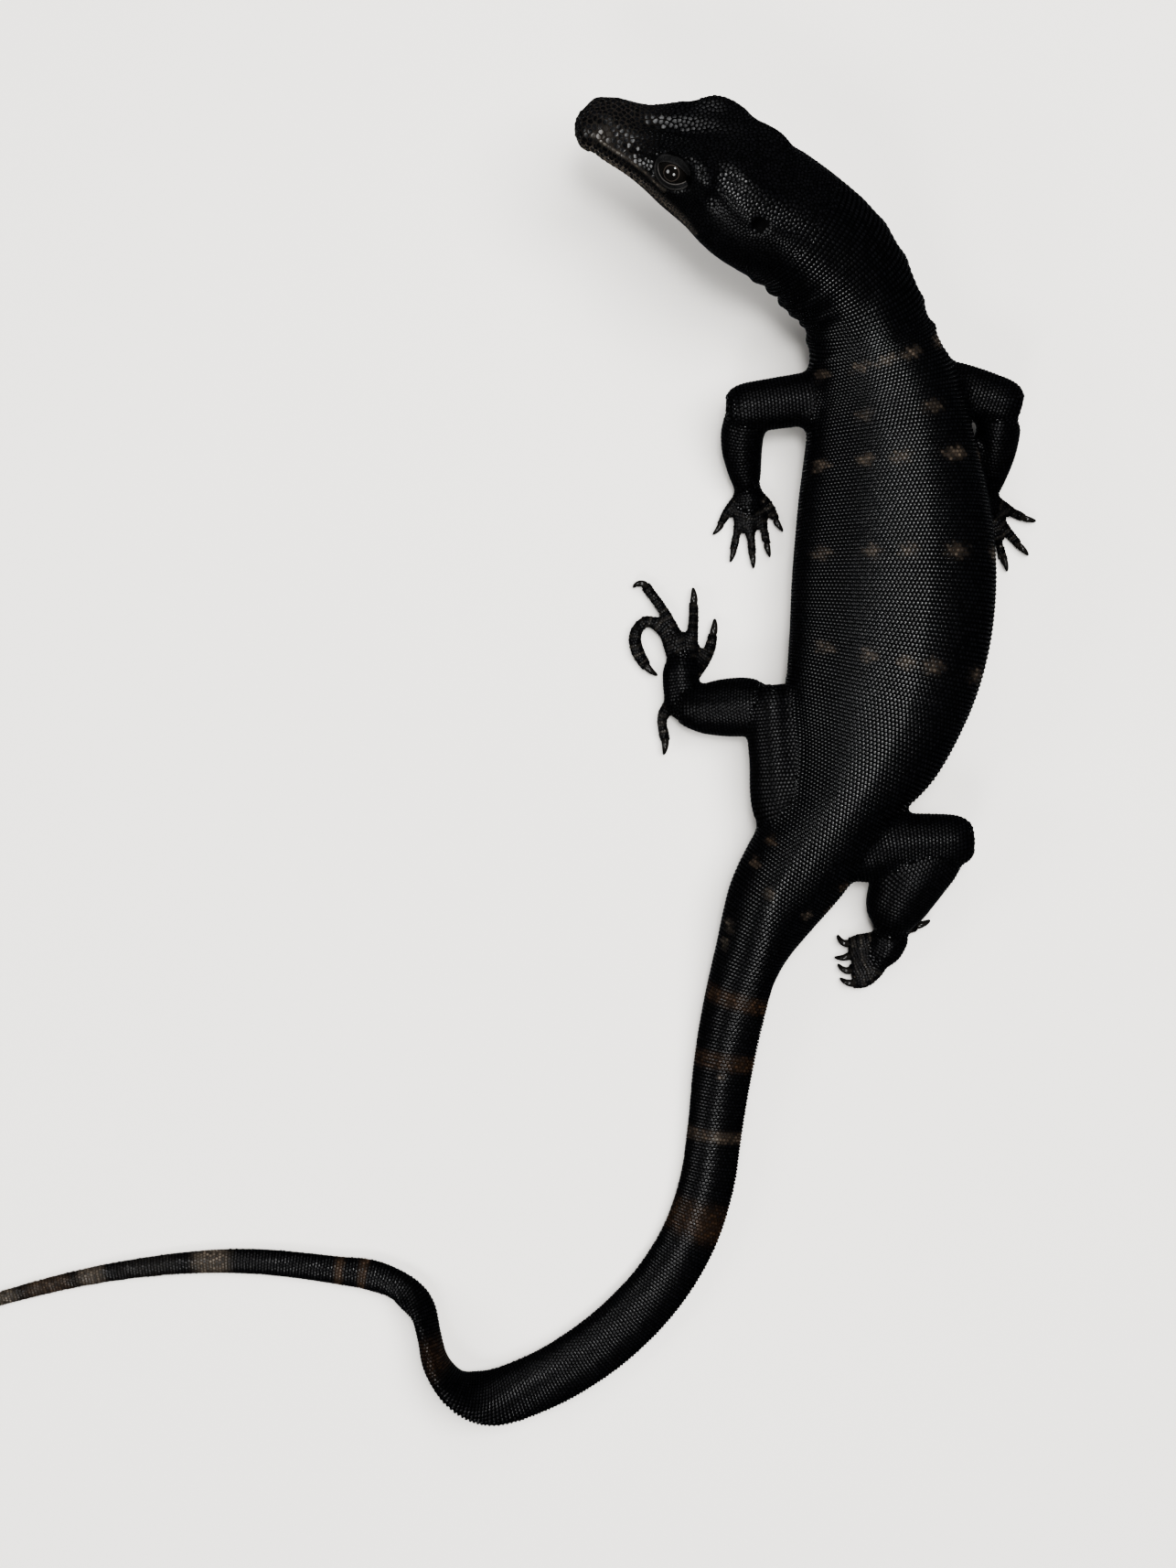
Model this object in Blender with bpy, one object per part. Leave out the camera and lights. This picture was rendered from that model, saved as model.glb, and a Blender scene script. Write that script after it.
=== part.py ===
"""Young black water monitor lizard, life size, lying on a level floor.

Metres, +Z up. The origin is on the floor under the middle of the belly. The animal faces -Y, its left side is
towards +X, and its tail sweeps round behind it to +X. Body, limbs and toes are tubes: rings of a rounded outline
set square to a smooth path through a few named stations. Whatever would reach below the floor is pressed flat on
it. Neighbouring nodes are parted by thin cuts.
"""

import math

import bmesh
import bpy
import numpy as np
from mathutils import Matrix, Vector

GAP = 0.0003
MERGE_DISTANCES = (0.00001, 0.000003, 0.000001, 0.0000003, 0.0000001)
SIDES = {"head": 36, "neck": 24, "torso": 24}
TAIL_SIDES = 14
LIMB_SIDES = 11
RIDGE_SIDES = 8
RIDGE_RINGS = 10
TOE_SIDES = 7
LIMB_RINGS = {"upper": 11, "lower": 11, "foot": 7}

# Body axis from the snout to the tip of the tail. Each station has its place, then the roll of the back towards the
# animal's right in degrees, then half the width, the height above the axis and the depth below it, and how square
# the outline is (2 is an ellipse).
BODY = {
    "snout_tip": (0.0505, -0.0717, 0.0248, 32, 0.0014, 0.0011, 0.0012, 2.0),
    "snout_end": (0.0497, -0.0714, 0.0249, 32, 0.0032, 0.0024, 0.0027, 2.1),
    "nostrils": (0.0464, -0.0705, 0.0252, 32, 0.0048, 0.0037, 0.0037, 2.3),
    "mid_snout": (0.0405, -0.0683, 0.0253, 33, 0.0062, 0.0039, 0.0048, 2.6),
    "eyes": (0.0345, -0.0661, 0.0251, 34, 0.0082, 0.0058, 0.0069, 2.8),
    "temples": (0.0285, -0.0634, 0.0245, 33, 0.0098, 0.0078, 0.0083, 2.6),
    "ears": (0.0222, -0.0593, 0.0234, 30, 0.0103, 0.0086, 0.0098, 2.3),
    "nape": (0.0158, -0.0558, 0.0215, 24, 0.0099, 0.0091, 0.0112, 2.1),
    "upper_neck": (0.0100, -0.0515, 0.0186, 17, 0.0096, 0.0094, 0.0102, 2.0),
    "mid_neck": (0.0056, -0.0460, 0.0154, 10, 0.0092, 0.0092, 0.0100, 2.0),
    "lower_neck": (0.0032, -0.0396, 0.0124, 4, 0.0100, 0.0094, 0.0102, 2.1),
    "shoulders": (0.0012, -0.0325, 0.0106, 0, 0.0118, 0.0100, 0.0107, 2.2),
    "chest": (0.0001, -0.0250, 0.0098, 0, 0.0133, 0.0106, 0.0100, 2.2),
    "ribs": (-0.0007, -0.0140, 0.0094, 0, 0.0153, 0.0112, 0.0098, 2.2),
    "belly": (-0.0009, -0.0010, 0.0094, 0, 0.0165, 0.0113, 0.0098, 2.2),
    "flanks": (-0.0001, 0.0090, 0.0092, 0, 0.0162, 0.0111, 0.0096, 2.2),
    "loins": (0.0017, 0.0178, 0.0088, 0, 0.0151, 0.0105, 0.0092, 2.2),
    "groin": (0.0043, 0.0266, 0.0084, 0, 0.0130, 0.0097, 0.0088, 2.1),
    "pelvis": (0.0082, 0.0350, 0.0080, 2, 0.0093, 0.0089, 0.0084, 2.1),
    "vent": (0.0130, 0.0432, 0.0075, 6, 0.0090, 0.0084, 0.0077, 2.1),
    "tail_root": (0.0185, 0.0518, 0.0067, 16, 0.0079, 0.0078, 0.0069, 2.0),
    "tail_a": (0.0226, 0.0608, 0.0056, 34, 0.0056, 0.0064, 0.0058, 1.9),
    "tail_b": (0.0253, 0.0700, 0.0045, 56, 0.0043, 0.0054, 0.0050, 1.9),
    "tail_c": (0.0270, 0.0795, 0.0038, 72, 0.0035, 0.0048, 0.0046, 1.9),
    "tail_d": (0.0282, 0.0890, 0.0031, 80, 0.0030, 0.0044, 0.0042, 1.9),
    "tail_e": (0.0296, 0.0986, 0.0027, 84, 0.0028, 0.0044, 0.0042, 1.9),
    "tail_f": (0.0324, 0.1072, 0.0025, 85, 0.0026, 0.0045, 0.0043, 1.9),
    "tail_g": (0.0369, 0.1148, 0.0025, 85, 0.0026, 0.0046, 0.0044, 1.9),
    "tail_h": (0.0430, 0.1216, 0.0025, 85, 0.00255, 0.0047, 0.0045, 1.9),
    "tail_i": (0.0500, 0.1272, 0.0024, 85, 0.0025, 0.0047, 0.0045, 1.9),
    "tail_j": (0.0582, 0.1317, 0.0025, 80, 0.00245, 0.0046, 0.0044, 1.9),
    "tail_k": (0.0656, 0.1336, 0.0034, 56, 0.0024, 0.0046, 0.0043, 1.9),
    "tail_bend": (0.0708, 0.1321, 0.0042, 18, 0.0024, 0.0047, 0.0042, 1.9),
    "tail_l": (0.0740, 0.1282, 0.0042, 4, 0.0022, 0.0046, 0.0041, 1.9),
    "tail_m": (0.0752, 0.1236, 0.0038, 8, 0.0019, 0.0040, 0.0036, 1.9),
    "tail_n": (0.0764, 0.1194, 0.0031, 22, 0.0019, 0.0034, 0.0032, 1.9),
    "tail_o": (0.0797, 0.1159, 0.0021, 62, 0.0018, 0.0024, 0.0023, 1.9),
    "tail_p": (0.0849, 0.1139, 0.0016, 80, 0.0016, 0.0024, 0.0024, 1.9),
    "tail_q": (0.0900, 0.1132, 0.0014, 82, 0.0015, 0.0022, 0.0022, 1.9),
    "tail_r": (0.1066, 0.1116, 0.0012, 82, 0.00125, 0.0020, 0.0019, 1.9),
    "tail_s": (0.1264, 0.1132, 0.0010, 82, 0.00105, 0.0016, 0.00145, 1.9),
    "tail_t": (0.1471, 0.1180, 0.0008, 82, 0.00085, 0.00125, 0.0011, 1.9),
    "tail_u": (0.1680, 0.1255, 0.0006, 82, 0.0006, 0.00085, 0.0008, 1.9),
    "tail_tip": (0.1850, 0.1335, 0.00035, 82, 0.0003, 0.0004, 0.00035, 1.9),
}
STATION_NAMES = list(BODY)
STATIONS = np.array([BODY[name] for name in STATION_NAMES])

# Where the body is parted, and how many rings each length gets.
LENGTHS = (
    ("head", "snout_tip", "nape", 32),
    ("neck", "nape", "lower_neck", 20),
    ("torso", "lower_neck", "vent", 24),
    ("tail_1", "vent", "tail_c", 12),
    ("tail_2", "tail_c", "tail_g", 9),
    ("tail_3", "tail_g", "tail_k", 9),
    ("tail_4", "tail_k", "tail_p", 13),
    ("tail_5", "tail_p", "tail_tip", 9),
)
KEEL_HEIGHT = 0.0006
KEEL_START = "tail_root"
KEEL_FADE_IN = 0.02
KEEL_FADE_OUT = 0.15
KEEL_POWER = 10
SNOUT_CROWDING = 1.35
DIRECTION_STEP = 0.0003

# Limbs: the middle line of each part with its radius there, from its root inside what it grows from to its far end.
LIMBS = {
    "forelimb_left": {
        "upper": ((0.0040, -0.0322, 0.0092, 0.0042), (0.0130, -0.0306, 0.0098, 0.0043), (0.0262, -0.0286, 0.0100, 0.0040)),
        "lower": ((0.0230, -0.0296, 0.0100, 0.0036), (0.0236, -0.0240, 0.0066, 0.0035), (0.0224, -0.0166, 0.0026, 0.0022)),
        "foot": ((0.0230, -0.0196, 0.0034, 0.0022), (0.0222, -0.0160, 0.0019, 0.0023), (0.0220, -0.0128, 0.0017, 0.0022)),
    },
    "forelimb_right": {
        "upper": (
            (-0.0025, -0.0335, 0.0092, 0.0042),
            (-0.0097, -0.0325, 0.0098, 0.0043),
            (-0.0216, -0.0288, 0.0100, 0.0040),
        ),
        "lower": (
            (-0.0184, -0.0292, 0.0100, 0.0036),
            (-0.0182, -0.0236, 0.0068, 0.0036),
            (-0.0170, -0.0158, 0.0026, 0.0023),
        ),
        "foot": (
            (-0.0174, -0.0188, 0.0034, 0.0022),
            (-0.0172, -0.0152, 0.0019, 0.0023),
            (-0.0177, -0.0120, 0.0017, 0.0022),
        ),
    },
    "hindlimb_left": {
        "upper": (
            (0.0090, 0.0404, 0.0076, 0.0046),
            (0.0160, 0.0376, 0.0080, 0.0050),
            (0.0180, 0.0275, 0.0084, 0.0046),
            (0.0190, 0.0160, 0.0082, 0.0043),
        ),
        "lower": (
            (0.0180, 0.0192, 0.0078, 0.0045),
            (0.0250, 0.0196, 0.0054, 0.0049),
            (0.0338, 0.0198, 0.0034, 0.0034),
        ),
        "foot": ((0.0328, 0.0208, 0.0032, 0.0032), (0.0334, 0.0160, 0.0025, 0.0031), (0.0334, 0.0110, 0.0021, 0.0032)),
    },
    "hindlimb_right": {
        "upper": (
            (0.0075, 0.0440, 0.0078, 0.0058),
            (-0.0010, 0.0422, 0.0084, 0.0051),
            (-0.0142, 0.0414, 0.0086, 0.0042),
        ),
        "lower": (
            (-0.0106, 0.0416, 0.0082, 0.0043),
            (-0.0037, 0.0484, 0.0064, 0.0058),
            (-0.0006, 0.0562, 0.0036, 0.0038),
        ),
        "foot": ((-0.0024, 0.0553, 0.0032, 0.0030), (-0.0010, 0.0588, 0.0025, 0.0030), (0.0006, 0.0616, 0.0021, 0.0030)),
    },
}

# Toes on the floor plan, from base to tip, innermost first.
TOE_RADIUS = {"forelimb": 0.00105, "hindlimb": 0.00125}
TOES = {
    "forelimb_left": (
        ((0.0208, -0.0160), (0.0186, -0.0140), (0.0174, -0.0114)),
        ((0.0214, -0.0140), (0.0197, -0.0110), (0.0190, -0.0074)),
        ((0.0220, -0.0134), (0.0218, -0.0100), (0.0214, -0.0056)),
        ((0.0227, -0.0138), (0.0239, -0.0106), (0.0246, -0.0066)),
        ((0.0232, -0.0156), (0.0254, -0.0136), (0.0268, -0.0108)),
    ),
    "forelimb_right": (
        ((-0.0162, -0.0150), (-0.0147, -0.0128), (-0.0140, -0.0100)),
        ((-0.0170, -0.0132), (-0.0170, -0.0098), (-0.0174, -0.0060)),
        ((-0.0177, -0.0126), (-0.0192, -0.0092), (-0.0206, -0.0050)),
        ((-0.0183, -0.0132), (-0.0209, -0.0102), (-0.0234, -0.0072)),
        ((-0.0186, -0.0150), (-0.0214, -0.0134), (-0.0242, -0.0120)),
    ),
    "hindlimb_left": (
        ((0.0312, 0.0135), (0.0289, 0.0105), (0.0279, 0.0068)),
        ((0.0322, 0.0110), (0.0314, 0.0065), (0.0312, 0.0016)),
        ((0.0336, 0.0100), (0.0354, 0.0050), (0.0394, -0.0010)),
        (
            (0.0344, 0.0108),
            (0.0362, 0.0068),
            (0.0392, 0.0051),
            (0.0410, 0.0072),
            (0.0405, 0.0104),
            (0.0390, 0.0128),
        ),
        ((0.0346, 0.0185), (0.0364, 0.0208), (0.0360, 0.0252)),
    ),
    "hindlimb_right": (
        ((0.0018, 0.0580), (0.0040, 0.0584), (0.0057, 0.0589)),
        ((0.0018, 0.0598), (0.0037, 0.0602), (0.0055, 0.0610)),
        ((0.0014, 0.0614), (0.0033, 0.0626), (0.0053, 0.0634)),
        ((0.0002, 0.0620), (0.0012, 0.0641), (0.0032, 0.0652), (0.0048, 0.0655)),
        ((-0.0030, 0.0560), (-0.0048, 0.0560), (-0.0062, 0.0558)),
    ),
}
TOE_HEIGHTS = {"forelimb": (0.0018, 0.0014, 0.0008), "hindlimb": (0.0021, 0.0017, 0.0010)}
CLAW_LENGTH = {"forelimb": 0.0022, "hindlimb": 0.0026}
CLAW_RADIUS = {"forelimb": 0.00050, "hindlimb": 0.00058}
CLAW_POINT = 0.00015
CLAW_SHAPE = ((0.30, 0.12), (0.70, 0.02))
TOE_ROOT = 0.0022
TOE_SWELL = 0.14
TOE_TAPER = (1.15, 0.80)

# Head features, from the body axis in its turned frame: run from the snout, then left, then up.
EYE_PLACE = (0.0173, 0.0062, 0.0028)
EYE_RADIUS = 0.0026
SOCKET_CLEARANCE = 0.0003
LID_REACH = 0.0019
LID_RING = 0.0024
LID_THICKNESS = 0.00055
LID_SIDES = (14, 6)
GAZE = (-0.0010, 0.0050, 0.0012)
LIP_PATH = (
    (0.0024, 0.0024, -0.0015),
    (0.0060, 0.0048, -0.0018),
    (0.0120, 0.0062, -0.0025),
    (0.0175, 0.0079, -0.0033),
    (0.0200, 0.0085, -0.0038),
    (0.0218, 0.0073, -0.0042),
)
LIP_THICKNESS = 0.0009
NOSTRIL_PLACE = (0.0048, 0.0048, 0.0022)
NOSTRIL_SIZE = (0.0009, 0.0006, 0.0006)
EAR_PLACE = (0.0320, 0.0087, 0.0048)
EAR_SIZE = (0.0011, 0.0014, 0.0019)

# Soft swellings and hollows of the head, on both sides: run from the snout, angle above the side in degrees, height,
# then how far it spreads along the head and round it in degrees.
HEAD_SWELLINGS = (
    (0.0188, 49, 0.0021, 0.0038, 13),
    (0.0216, 33, 0.0011, 0.0024, 12),
    (0.0222, 16, 0.0007, 0.0018, 13),
    (0.0122, 44, 0.0006, 0.0030, 10),
    (0.0170, 2, 0.0005, 0.0034, 10),
    (0.0044, 66, 0.0004, 0.0020, 20),
    (0.0100, 20, -0.0004, 0.0028, 11),
    (0.0272, 62, 0.0008, 0.0036, 16),
    (0.0300, -14, 0.0008, 0.0044, 22),
)
HEAD_HOLLOW = (0.0160, 90, -0.0014, 0.0065, 13)
# The mouth line: run from the snout, and its height against the axis.
MOUTH_LINE = ((-0.0030, -0.0012), (0.0010, -0.0013), (0.0080, -0.0020), (0.0160, -0.0030), (0.0240, -0.0046))
GULAR_FOLDS = ((0.0385, 0.0006), (0.0430, 0.0012), (0.0475, 0.0018), (0.0515, 0.0018), (0.0560, 0.0007))
FOLD_WIDTH = 0.0014
JAW_BLOCK = (0.0200, 0.0200)

SKIN_BLACK = (0.012, 0.012, 0.014)
EYE_BLACK = (0.006, 0.005, 0.005)
CLAW_HORN = (0.035, 0.030, 0.026)
SHARP_TURN = 35


def clear_scene():
    for item in list(bpy.data.objects):
        bpy.data.objects.remove(item, do_unlink=True)


def make_material(name, colour, roughness):
    material = bpy.data.materials.new(name)
    material.use_nodes = True
    shader = material.node_tree.nodes["Principled BSDF"]
    shader.inputs["Base Color"].default_value = (*colour, 1.0)
    shader.inputs["Roughness"].default_value = roughness
    shader.inputs["Metallic"].default_value = 0.0
    material.diffuse_color = (*colour, 1.0)
    return material


def smooth_through(knots, values, at):
    """Cubic curve through the values, whose slope at each knot is that of its two neighbours."""
    knots = np.asarray(knots, float)
    values = np.asarray(values, float)
    slopes = np.gradient(values, knots, axis=0)
    at = np.clip(np.atleast_1d(np.asarray(at, float)), knots[0], knots[-1])
    left = np.clip(np.searchsorted(knots, at, side="right") - 1, 0, len(knots) - 2)
    span = (knots[left + 1] - knots[left])[:, None]
    part = (at - knots[left])[:, None] / span
    rise = part * part * (3 - 2 * part)
    lead = part * (1 - part) ** 2 * span
    trail = -part * part * (1 - part) * span
    return values[left] * (1 - rise) + values[left + 1] * rise + slopes[left] * lead + slopes[left + 1] * trail


def run_of(points):
    """Distance along a list of points, from the first one."""
    steps = np.linalg.norm(np.diff(points, axis=0), axis=1)
    return np.concatenate([[0.0], np.cumsum(steps)])


BODY_RUN = run_of(STATIONS[:, :3])
RUN_AT = dict(zip(STATION_NAMES, BODY_RUN))


def unit(vectors):
    return vectors / np.linalg.norm(vectors, axis=-1, keepdims=True)


def frames_along(centres, tangents, roll):
    """Side and up vectors square to a path: up leans to the animal's right by the roll."""
    level_side = unit(np.cross(tangents, np.array([0.0, 0.0, 1.0])))
    level_up = np.cross(level_side, tangents)
    cosine = np.cos(roll)[:, None]
    sine = np.sin(roll)[:, None]
    return level_side * cosine + level_up * sine, level_up * cosine - level_side * sine


def body_state(run):
    """Centre, side, up and outline sizes of the body at each run from the snout."""
    run = np.atleast_1d(np.asarray(run, float))
    state = smooth_through(BODY_RUN, STATIONS, run)
    ahead = smooth_through(BODY_RUN, STATIONS[:, :3], run + DIRECTION_STEP)
    behind = smooth_through(BODY_RUN, STATIONS[:, :3], run - DIRECTION_STEP)
    side, up = frames_along(state[:, :3], unit(ahead - behind), np.radians(state[:, 3]))
    return state[:, :3], side, up, state[:, 4:]


def fold_swell(run, angles):
    """Soft cross folds of loose skin under the throat."""
    swell = np.zeros((len(run), len(angles)))
    under = np.clip(-np.sin(angles), 0.0, 1.0) ** 0.7
    for place, height in GULAR_FOLDS:
        swell += height * np.exp(-(((run - place) / FOLD_WIDTH) ** 2))[:, None] * under
    return swell


def soft_spot(run, angles, spot, mirror=1):
    """Gaussian swelling round one place of the head's outline."""
    place, around, height, spread, turn = spot
    middle = math.radians(around if mirror > 0 else 180 - around)
    apart = (angles - middle + math.pi) % (2 * math.pi) - math.pi
    along = np.exp(-(((run - place) / spread) ** 2))[:, None]
    return height * along * np.exp(-((apart / math.radians(turn)) ** 2))[None, :]


def head_swell(run, angles):
    """Brows, canthal ridges, nose bulges, temples and cheeks on both sides, and the hollow between the brows."""
    swell = soft_spot(run, angles, HEAD_HOLLOW)
    for spot in HEAD_SWELLINGS:
        swell = swell + soft_spot(run, angles, spot) + soft_spot(run, angles, spot, -1)
    return swell


def keel_swell(run, angles):
    """Ridge along the top edge of the tail."""
    start = RUN_AT[KEEL_START]
    strength = np.clip((run - start) / KEEL_FADE_IN, 0.0, 1.0)
    strength = strength * np.clip((BODY_RUN[-1] - run) / KEEL_FADE_OUT, 0.0, 1.0)
    top = np.clip(np.sin(angles), 0.0, 1.0) ** KEEL_POWER
    return KEEL_HEIGHT * strength[:, None] * top


def body_points(run, sides, swelling=0.0):
    """Points on the body's skin: one ring of points for each run, pressed flat where the floor is."""
    run = np.atleast_1d(np.asarray(run, float))
    centres, side, up, sizes = body_state(run)
    angles = np.arange(sides) * 2 * math.pi / sides + math.pi / 2
    power = 2.0 / sizes[:, 3:4]
    cosine = np.cos(angles)[None, :]
    sine = np.sin(angles)[None, :]
    across = np.sign(cosine) * np.abs(cosine) ** power * sizes[:, 0:1]
    tall = np.where(sine >= 0, sizes[:, 1:2], sizes[:, 2:3])
    along_up = np.sign(sine) * np.abs(sine) ** power * tall
    reach = np.hypot(across, along_up)
    forms = fold_swell(run, angles) + keel_swell(run, angles) + head_swell(run, angles)
    grown = (reach + forms + swelling) / np.maximum(reach, 1e-6)
    points = centres[:, None, :]
    points = points + side[:, None, :] * (across * grown)[:, :, None]
    points = points + up[:, None, :] * (along_up * grown)[:, :, None]
    return points


def press_on_floor(points, level=0.0):
    points[..., 2] = np.maximum(points[..., 2], level)
    return points


def tube_mesh(name, rings):
    """Closed mesh from rings of points, with a fan on each end."""
    count, sides, _ = rings.shape
    vertices = [tuple(point) for point in rings.reshape(-1, 3)]
    first_cap = len(vertices)
    vertices.append(tuple(rings[0].mean(axis=0)))
    vertices.append(tuple(rings[-1].mean(axis=0)))
    faces = []
    for ring in range(count - 1):
        for corner in range(sides):
            after = (corner + 1) % sides
            near = ring * sides
            far = near + sides
            faces.append((near + corner, near + after, far + after, far + corner))
    last = (count - 1) * sides
    for corner in range(sides):
        after = (corner + 1) % sides
        faces.append((first_cap, after, corner))
        faces.append((first_cap + 1, last + corner, last + after))
    mesh = bpy.data.meshes.new(name)
    mesh.from_pydata(vertices, [], faces)
    mesh.validate()
    return face_outward(mesh)


def face_outward(mesh):
    work = bmesh.new()
    work.from_mesh(mesh)
    bmesh.ops.recalc_face_normals(work, faces=work.faces)
    if work.calc_volume(signed=True) < 0:
        bmesh.ops.reverse_faces(work, faces=work.faces)
    work.to_mesh(mesh)
    work.free()
    return mesh


def add_object(name, mesh, material=None):
    item = bpy.data.objects.new(name, mesh)
    bpy.context.scene.collection.objects.link(item)
    if material is not None:
        mesh.materials.clear()
        mesh.materials.append(material)
    return item


def bake(item, modifier_type, **settings):
    """Adds a modifier and replaces the object's mesh by the result."""
    modifier = item.modifiers.new(modifier_type.lower(), modifier_type)
    for key, value in settings.items():
        setattr(modifier, key, value)
    bpy.context.view_layer.update()
    evaluated = item.evaluated_get(bpy.context.evaluated_depsgraph_get())
    result = bpy.data.meshes.new_from_object(evaluated)
    item.modifiers.clear()
    materials = list(item.data.materials)
    item.data = result
    result.materials.clear()
    for material in materials:
        result.materials.append(material)
    return item


def join_pieces(item, pieces):
    """One Boolean union of the object with a collection of closed pieces, which are then removed."""
    group = bpy.data.collections.new(item.name + "_pieces")
    bpy.context.scene.collection.children.link(group)
    for piece in pieces:
        bpy.context.scene.collection.objects.unlink(piece)
        group.objects.link(piece)
    bake(item, "BOOLEAN", operation="UNION", operand_type="COLLECTION", collection=group, solver="EXACT")
    for piece in pieces:
        bpy.data.objects.remove(piece, do_unlink=True)
    bpy.data.collections.remove(group)
    return keep_largest(item)


def boolean_with(item, cutter, operation):
    """Cuts the object by a closed piece, which is then removed."""
    cutter.hide_render = True
    cutter.display_type = "WIRE"
    bake(item, "BOOLEAN", operation=operation, object=cutter, solver="EXACT")
    bpy.data.objects.remove(cutter, do_unlink=True)
    return keep_largest(item)


def merged_closed(mesh):
    """The mesh with points that fall together merged, by the largest distance that leaves it closed."""
    for distance in MERGE_DISTANCES:
        work = bmesh.new()
        work.from_mesh(mesh)
        bmesh.ops.remove_doubles(work, verts=work.verts, dist=distance)
        bmesh.ops.dissolve_degenerate(work, edges=work.edges, dist=distance)
        bmesh.ops.triangulate(work, faces=work.faces)
        if all(len(edge.link_faces) == 2 for edge in work.edges):
            return work
        work.free()
    raise RuntimeError("The mesh stays open: " + mesh.name)


def keep_largest(item):
    """Drops every closed surface but the largest one."""
    work = merged_closed(item.data)
    seen = set()
    islands = []
    for face in work.faces:
        if face in seen:
            continue
        island = []
        stack = [face]
        seen.add(face)
        while stack:
            current = stack.pop()
            island.append(current)
            for edge in current.edges:
                for other in edge.link_faces:
                    if other not in seen:
                        seen.add(other)
                        stack.append(other)
        islands.append(island)
    islands.sort(key=lambda island: sum(face.calc_area() for face in island), reverse=True)
    for island in islands[1:]:
        bmesh.ops.delete(work, geom=island, context="FACES")
    work.to_mesh(item.data)
    work.free()
    return item


def ball(name, place, sizes, mirror=1, segments=14, rings=9):
    """Closed ellipsoid in the head's own frame: place and sizes go along the head, to its side and up."""
    run, left, height = place
    centres, side, up, _ = body_state(run)
    across = side[0]
    tall = up[0]
    along = np.cross(across, tall)
    centre = centres[0] + across * left * mirror + tall * height
    turn = Matrix((along * sizes[0], across * sizes[1], tall * sizes[2])).transposed().to_4x4()
    turn.translation = Vector(centre)
    mesh = bpy.data.meshes.new(name)
    work = bmesh.new()
    bmesh.ops.create_uvsphere(work, u_segments=segments, v_segments=rings, radius=1.0, matrix=turn)
    work.to_mesh(mesh)
    work.free()
    return add_object(name, face_outward(mesh))


def path_rings(points, radii, count, sides, swelling=0.0, flatten=1.0, round_ends=False):
    """Rings round a smooth path: flatten makes the tube lower than wide."""
    points = np.asarray(points, float)
    knots = run_of(points)
    share = np.linspace(0.0, 1.0, count)
    if round_ends:
        share = (1 - np.cos(share * math.pi)) / 2
    run = share * knots[-1]
    centres = smooth_through(knots, points, run)
    heading = headings(points, run)
    radius = smooth_through(knots, np.asarray(radii, float)[:, None], run)[:, 0]
    if round_ends:
        from_end = np.minimum(run, knots[-1] - run)
        depth = np.clip(from_end / radius, 0.0, 1.0)
        radius = radius * np.maximum(np.sqrt(1 - (1 - depth) ** 2), 0.30)
    radius = radius + swelling
    centres[0] -= heading[0] * swelling
    centres[-1] += heading[-1] * swelling
    side, up = frames_along(centres, heading, np.zeros(count))
    angles = np.arange(sides) * 2 * math.pi / sides + math.pi / 2
    ring = side[:, None, :] * np.cos(angles)[None, :, None]
    ring = ring + up[:, None, :] * np.sin(angles)[None, :, None] * flatten
    return centres[:, None, :] + ring * radius[:, None, None]


def headings(points, run):
    """Direction of a smooth path at each run along it."""
    knots = run_of(points)
    ahead = smooth_through(knots, points, run + DIRECTION_STEP)
    return unit(ahead - smooth_through(knots, points, run - DIRECTION_STEP))


def head_place(run, left, up_by):
    """World place of a point given by its run, its distance to the left and its height over the axis."""
    centres, side, up, _ = body_state(run)
    return centres[0] + side[0] * left + up[0] * up_by


def head_path(path, mirror):
    return [head_place(run, left * mirror, height) for run, left, height in path]


def build_body_length(name, start, end, count, material):
    """One length of the body between two named stations, short of each cut by half the gap."""
    low = RUN_AT[start] + (GAP / 2 if start != "snout_tip" else 0.0)
    high = RUN_AT[end] - (GAP / 2 if end != "tail_tip" else 0.0)
    share = np.linspace(0.0, 1.0, count)
    if start == "snout_tip":
        share = share**SNOUT_CROWDING
    sides = SIDES.get(name, TAIL_SIDES)
    rings = press_on_floor(body_points(low + (high - low) * share, sides))
    return add_object(name, tube_mesh(name, rings), material)


def lid_ring(mirror):
    """Ring of skin round the eye, square to the way it looks."""
    run, left, height = EYE_PLACE
    centre = head_place(run, left * mirror, height)
    outward = unit(head_place(run + GAZE[0], (left + GAZE[1]) * mirror, height + GAZE[2]) - centre)
    flat_a = unit(np.cross(outward, np.array([0.0, 0.0, 1.0])))
    flat_b = np.cross(outward, flat_a)
    turns = np.linspace(0, 2 * math.pi, LID_SIDES[0] + 1)[:-1]
    tube = np.linspace(0, 2 * math.pi, LID_SIDES[1] + 1)[:-1]
    rings = []
    for turn in turns:
        spoke = flat_a * math.cos(turn) + flat_b * math.sin(turn)
        hub = centre + outward * LID_REACH + spoke * LID_RING
        rings.append([hub + (spoke * math.cos(t) + outward * math.sin(t)) * LID_THICKNESS for t in tube])
    rings = np.array(rings)
    count, sides, _ = rings.shape
    faces = []
    for ring in range(count):
        for corner in range(sides):
            after = (corner + 1) % sides
            following = (ring + 1) % count
            faces.append(
                (ring * sides + corner, ring * sides + after, following * sides + after, following * sides + corner)
            )
    mesh = bpy.data.meshes.new("lid")
    mesh.from_pydata([tuple(p) for p in rings.reshape(-1, 3)], [], faces)
    return add_object("lid", face_outward(mesh))


def ridge(name, path, thickness, mirror):
    """Round-ended roll of skin along a path on the head."""
    points = head_path(path, mirror)
    rings = path_rings(points, [thickness] * len(points), RIDGE_RINGS, RIDGE_SIDES, round_ends=True)
    return add_object(name, tube_mesh(name, rings))


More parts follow.
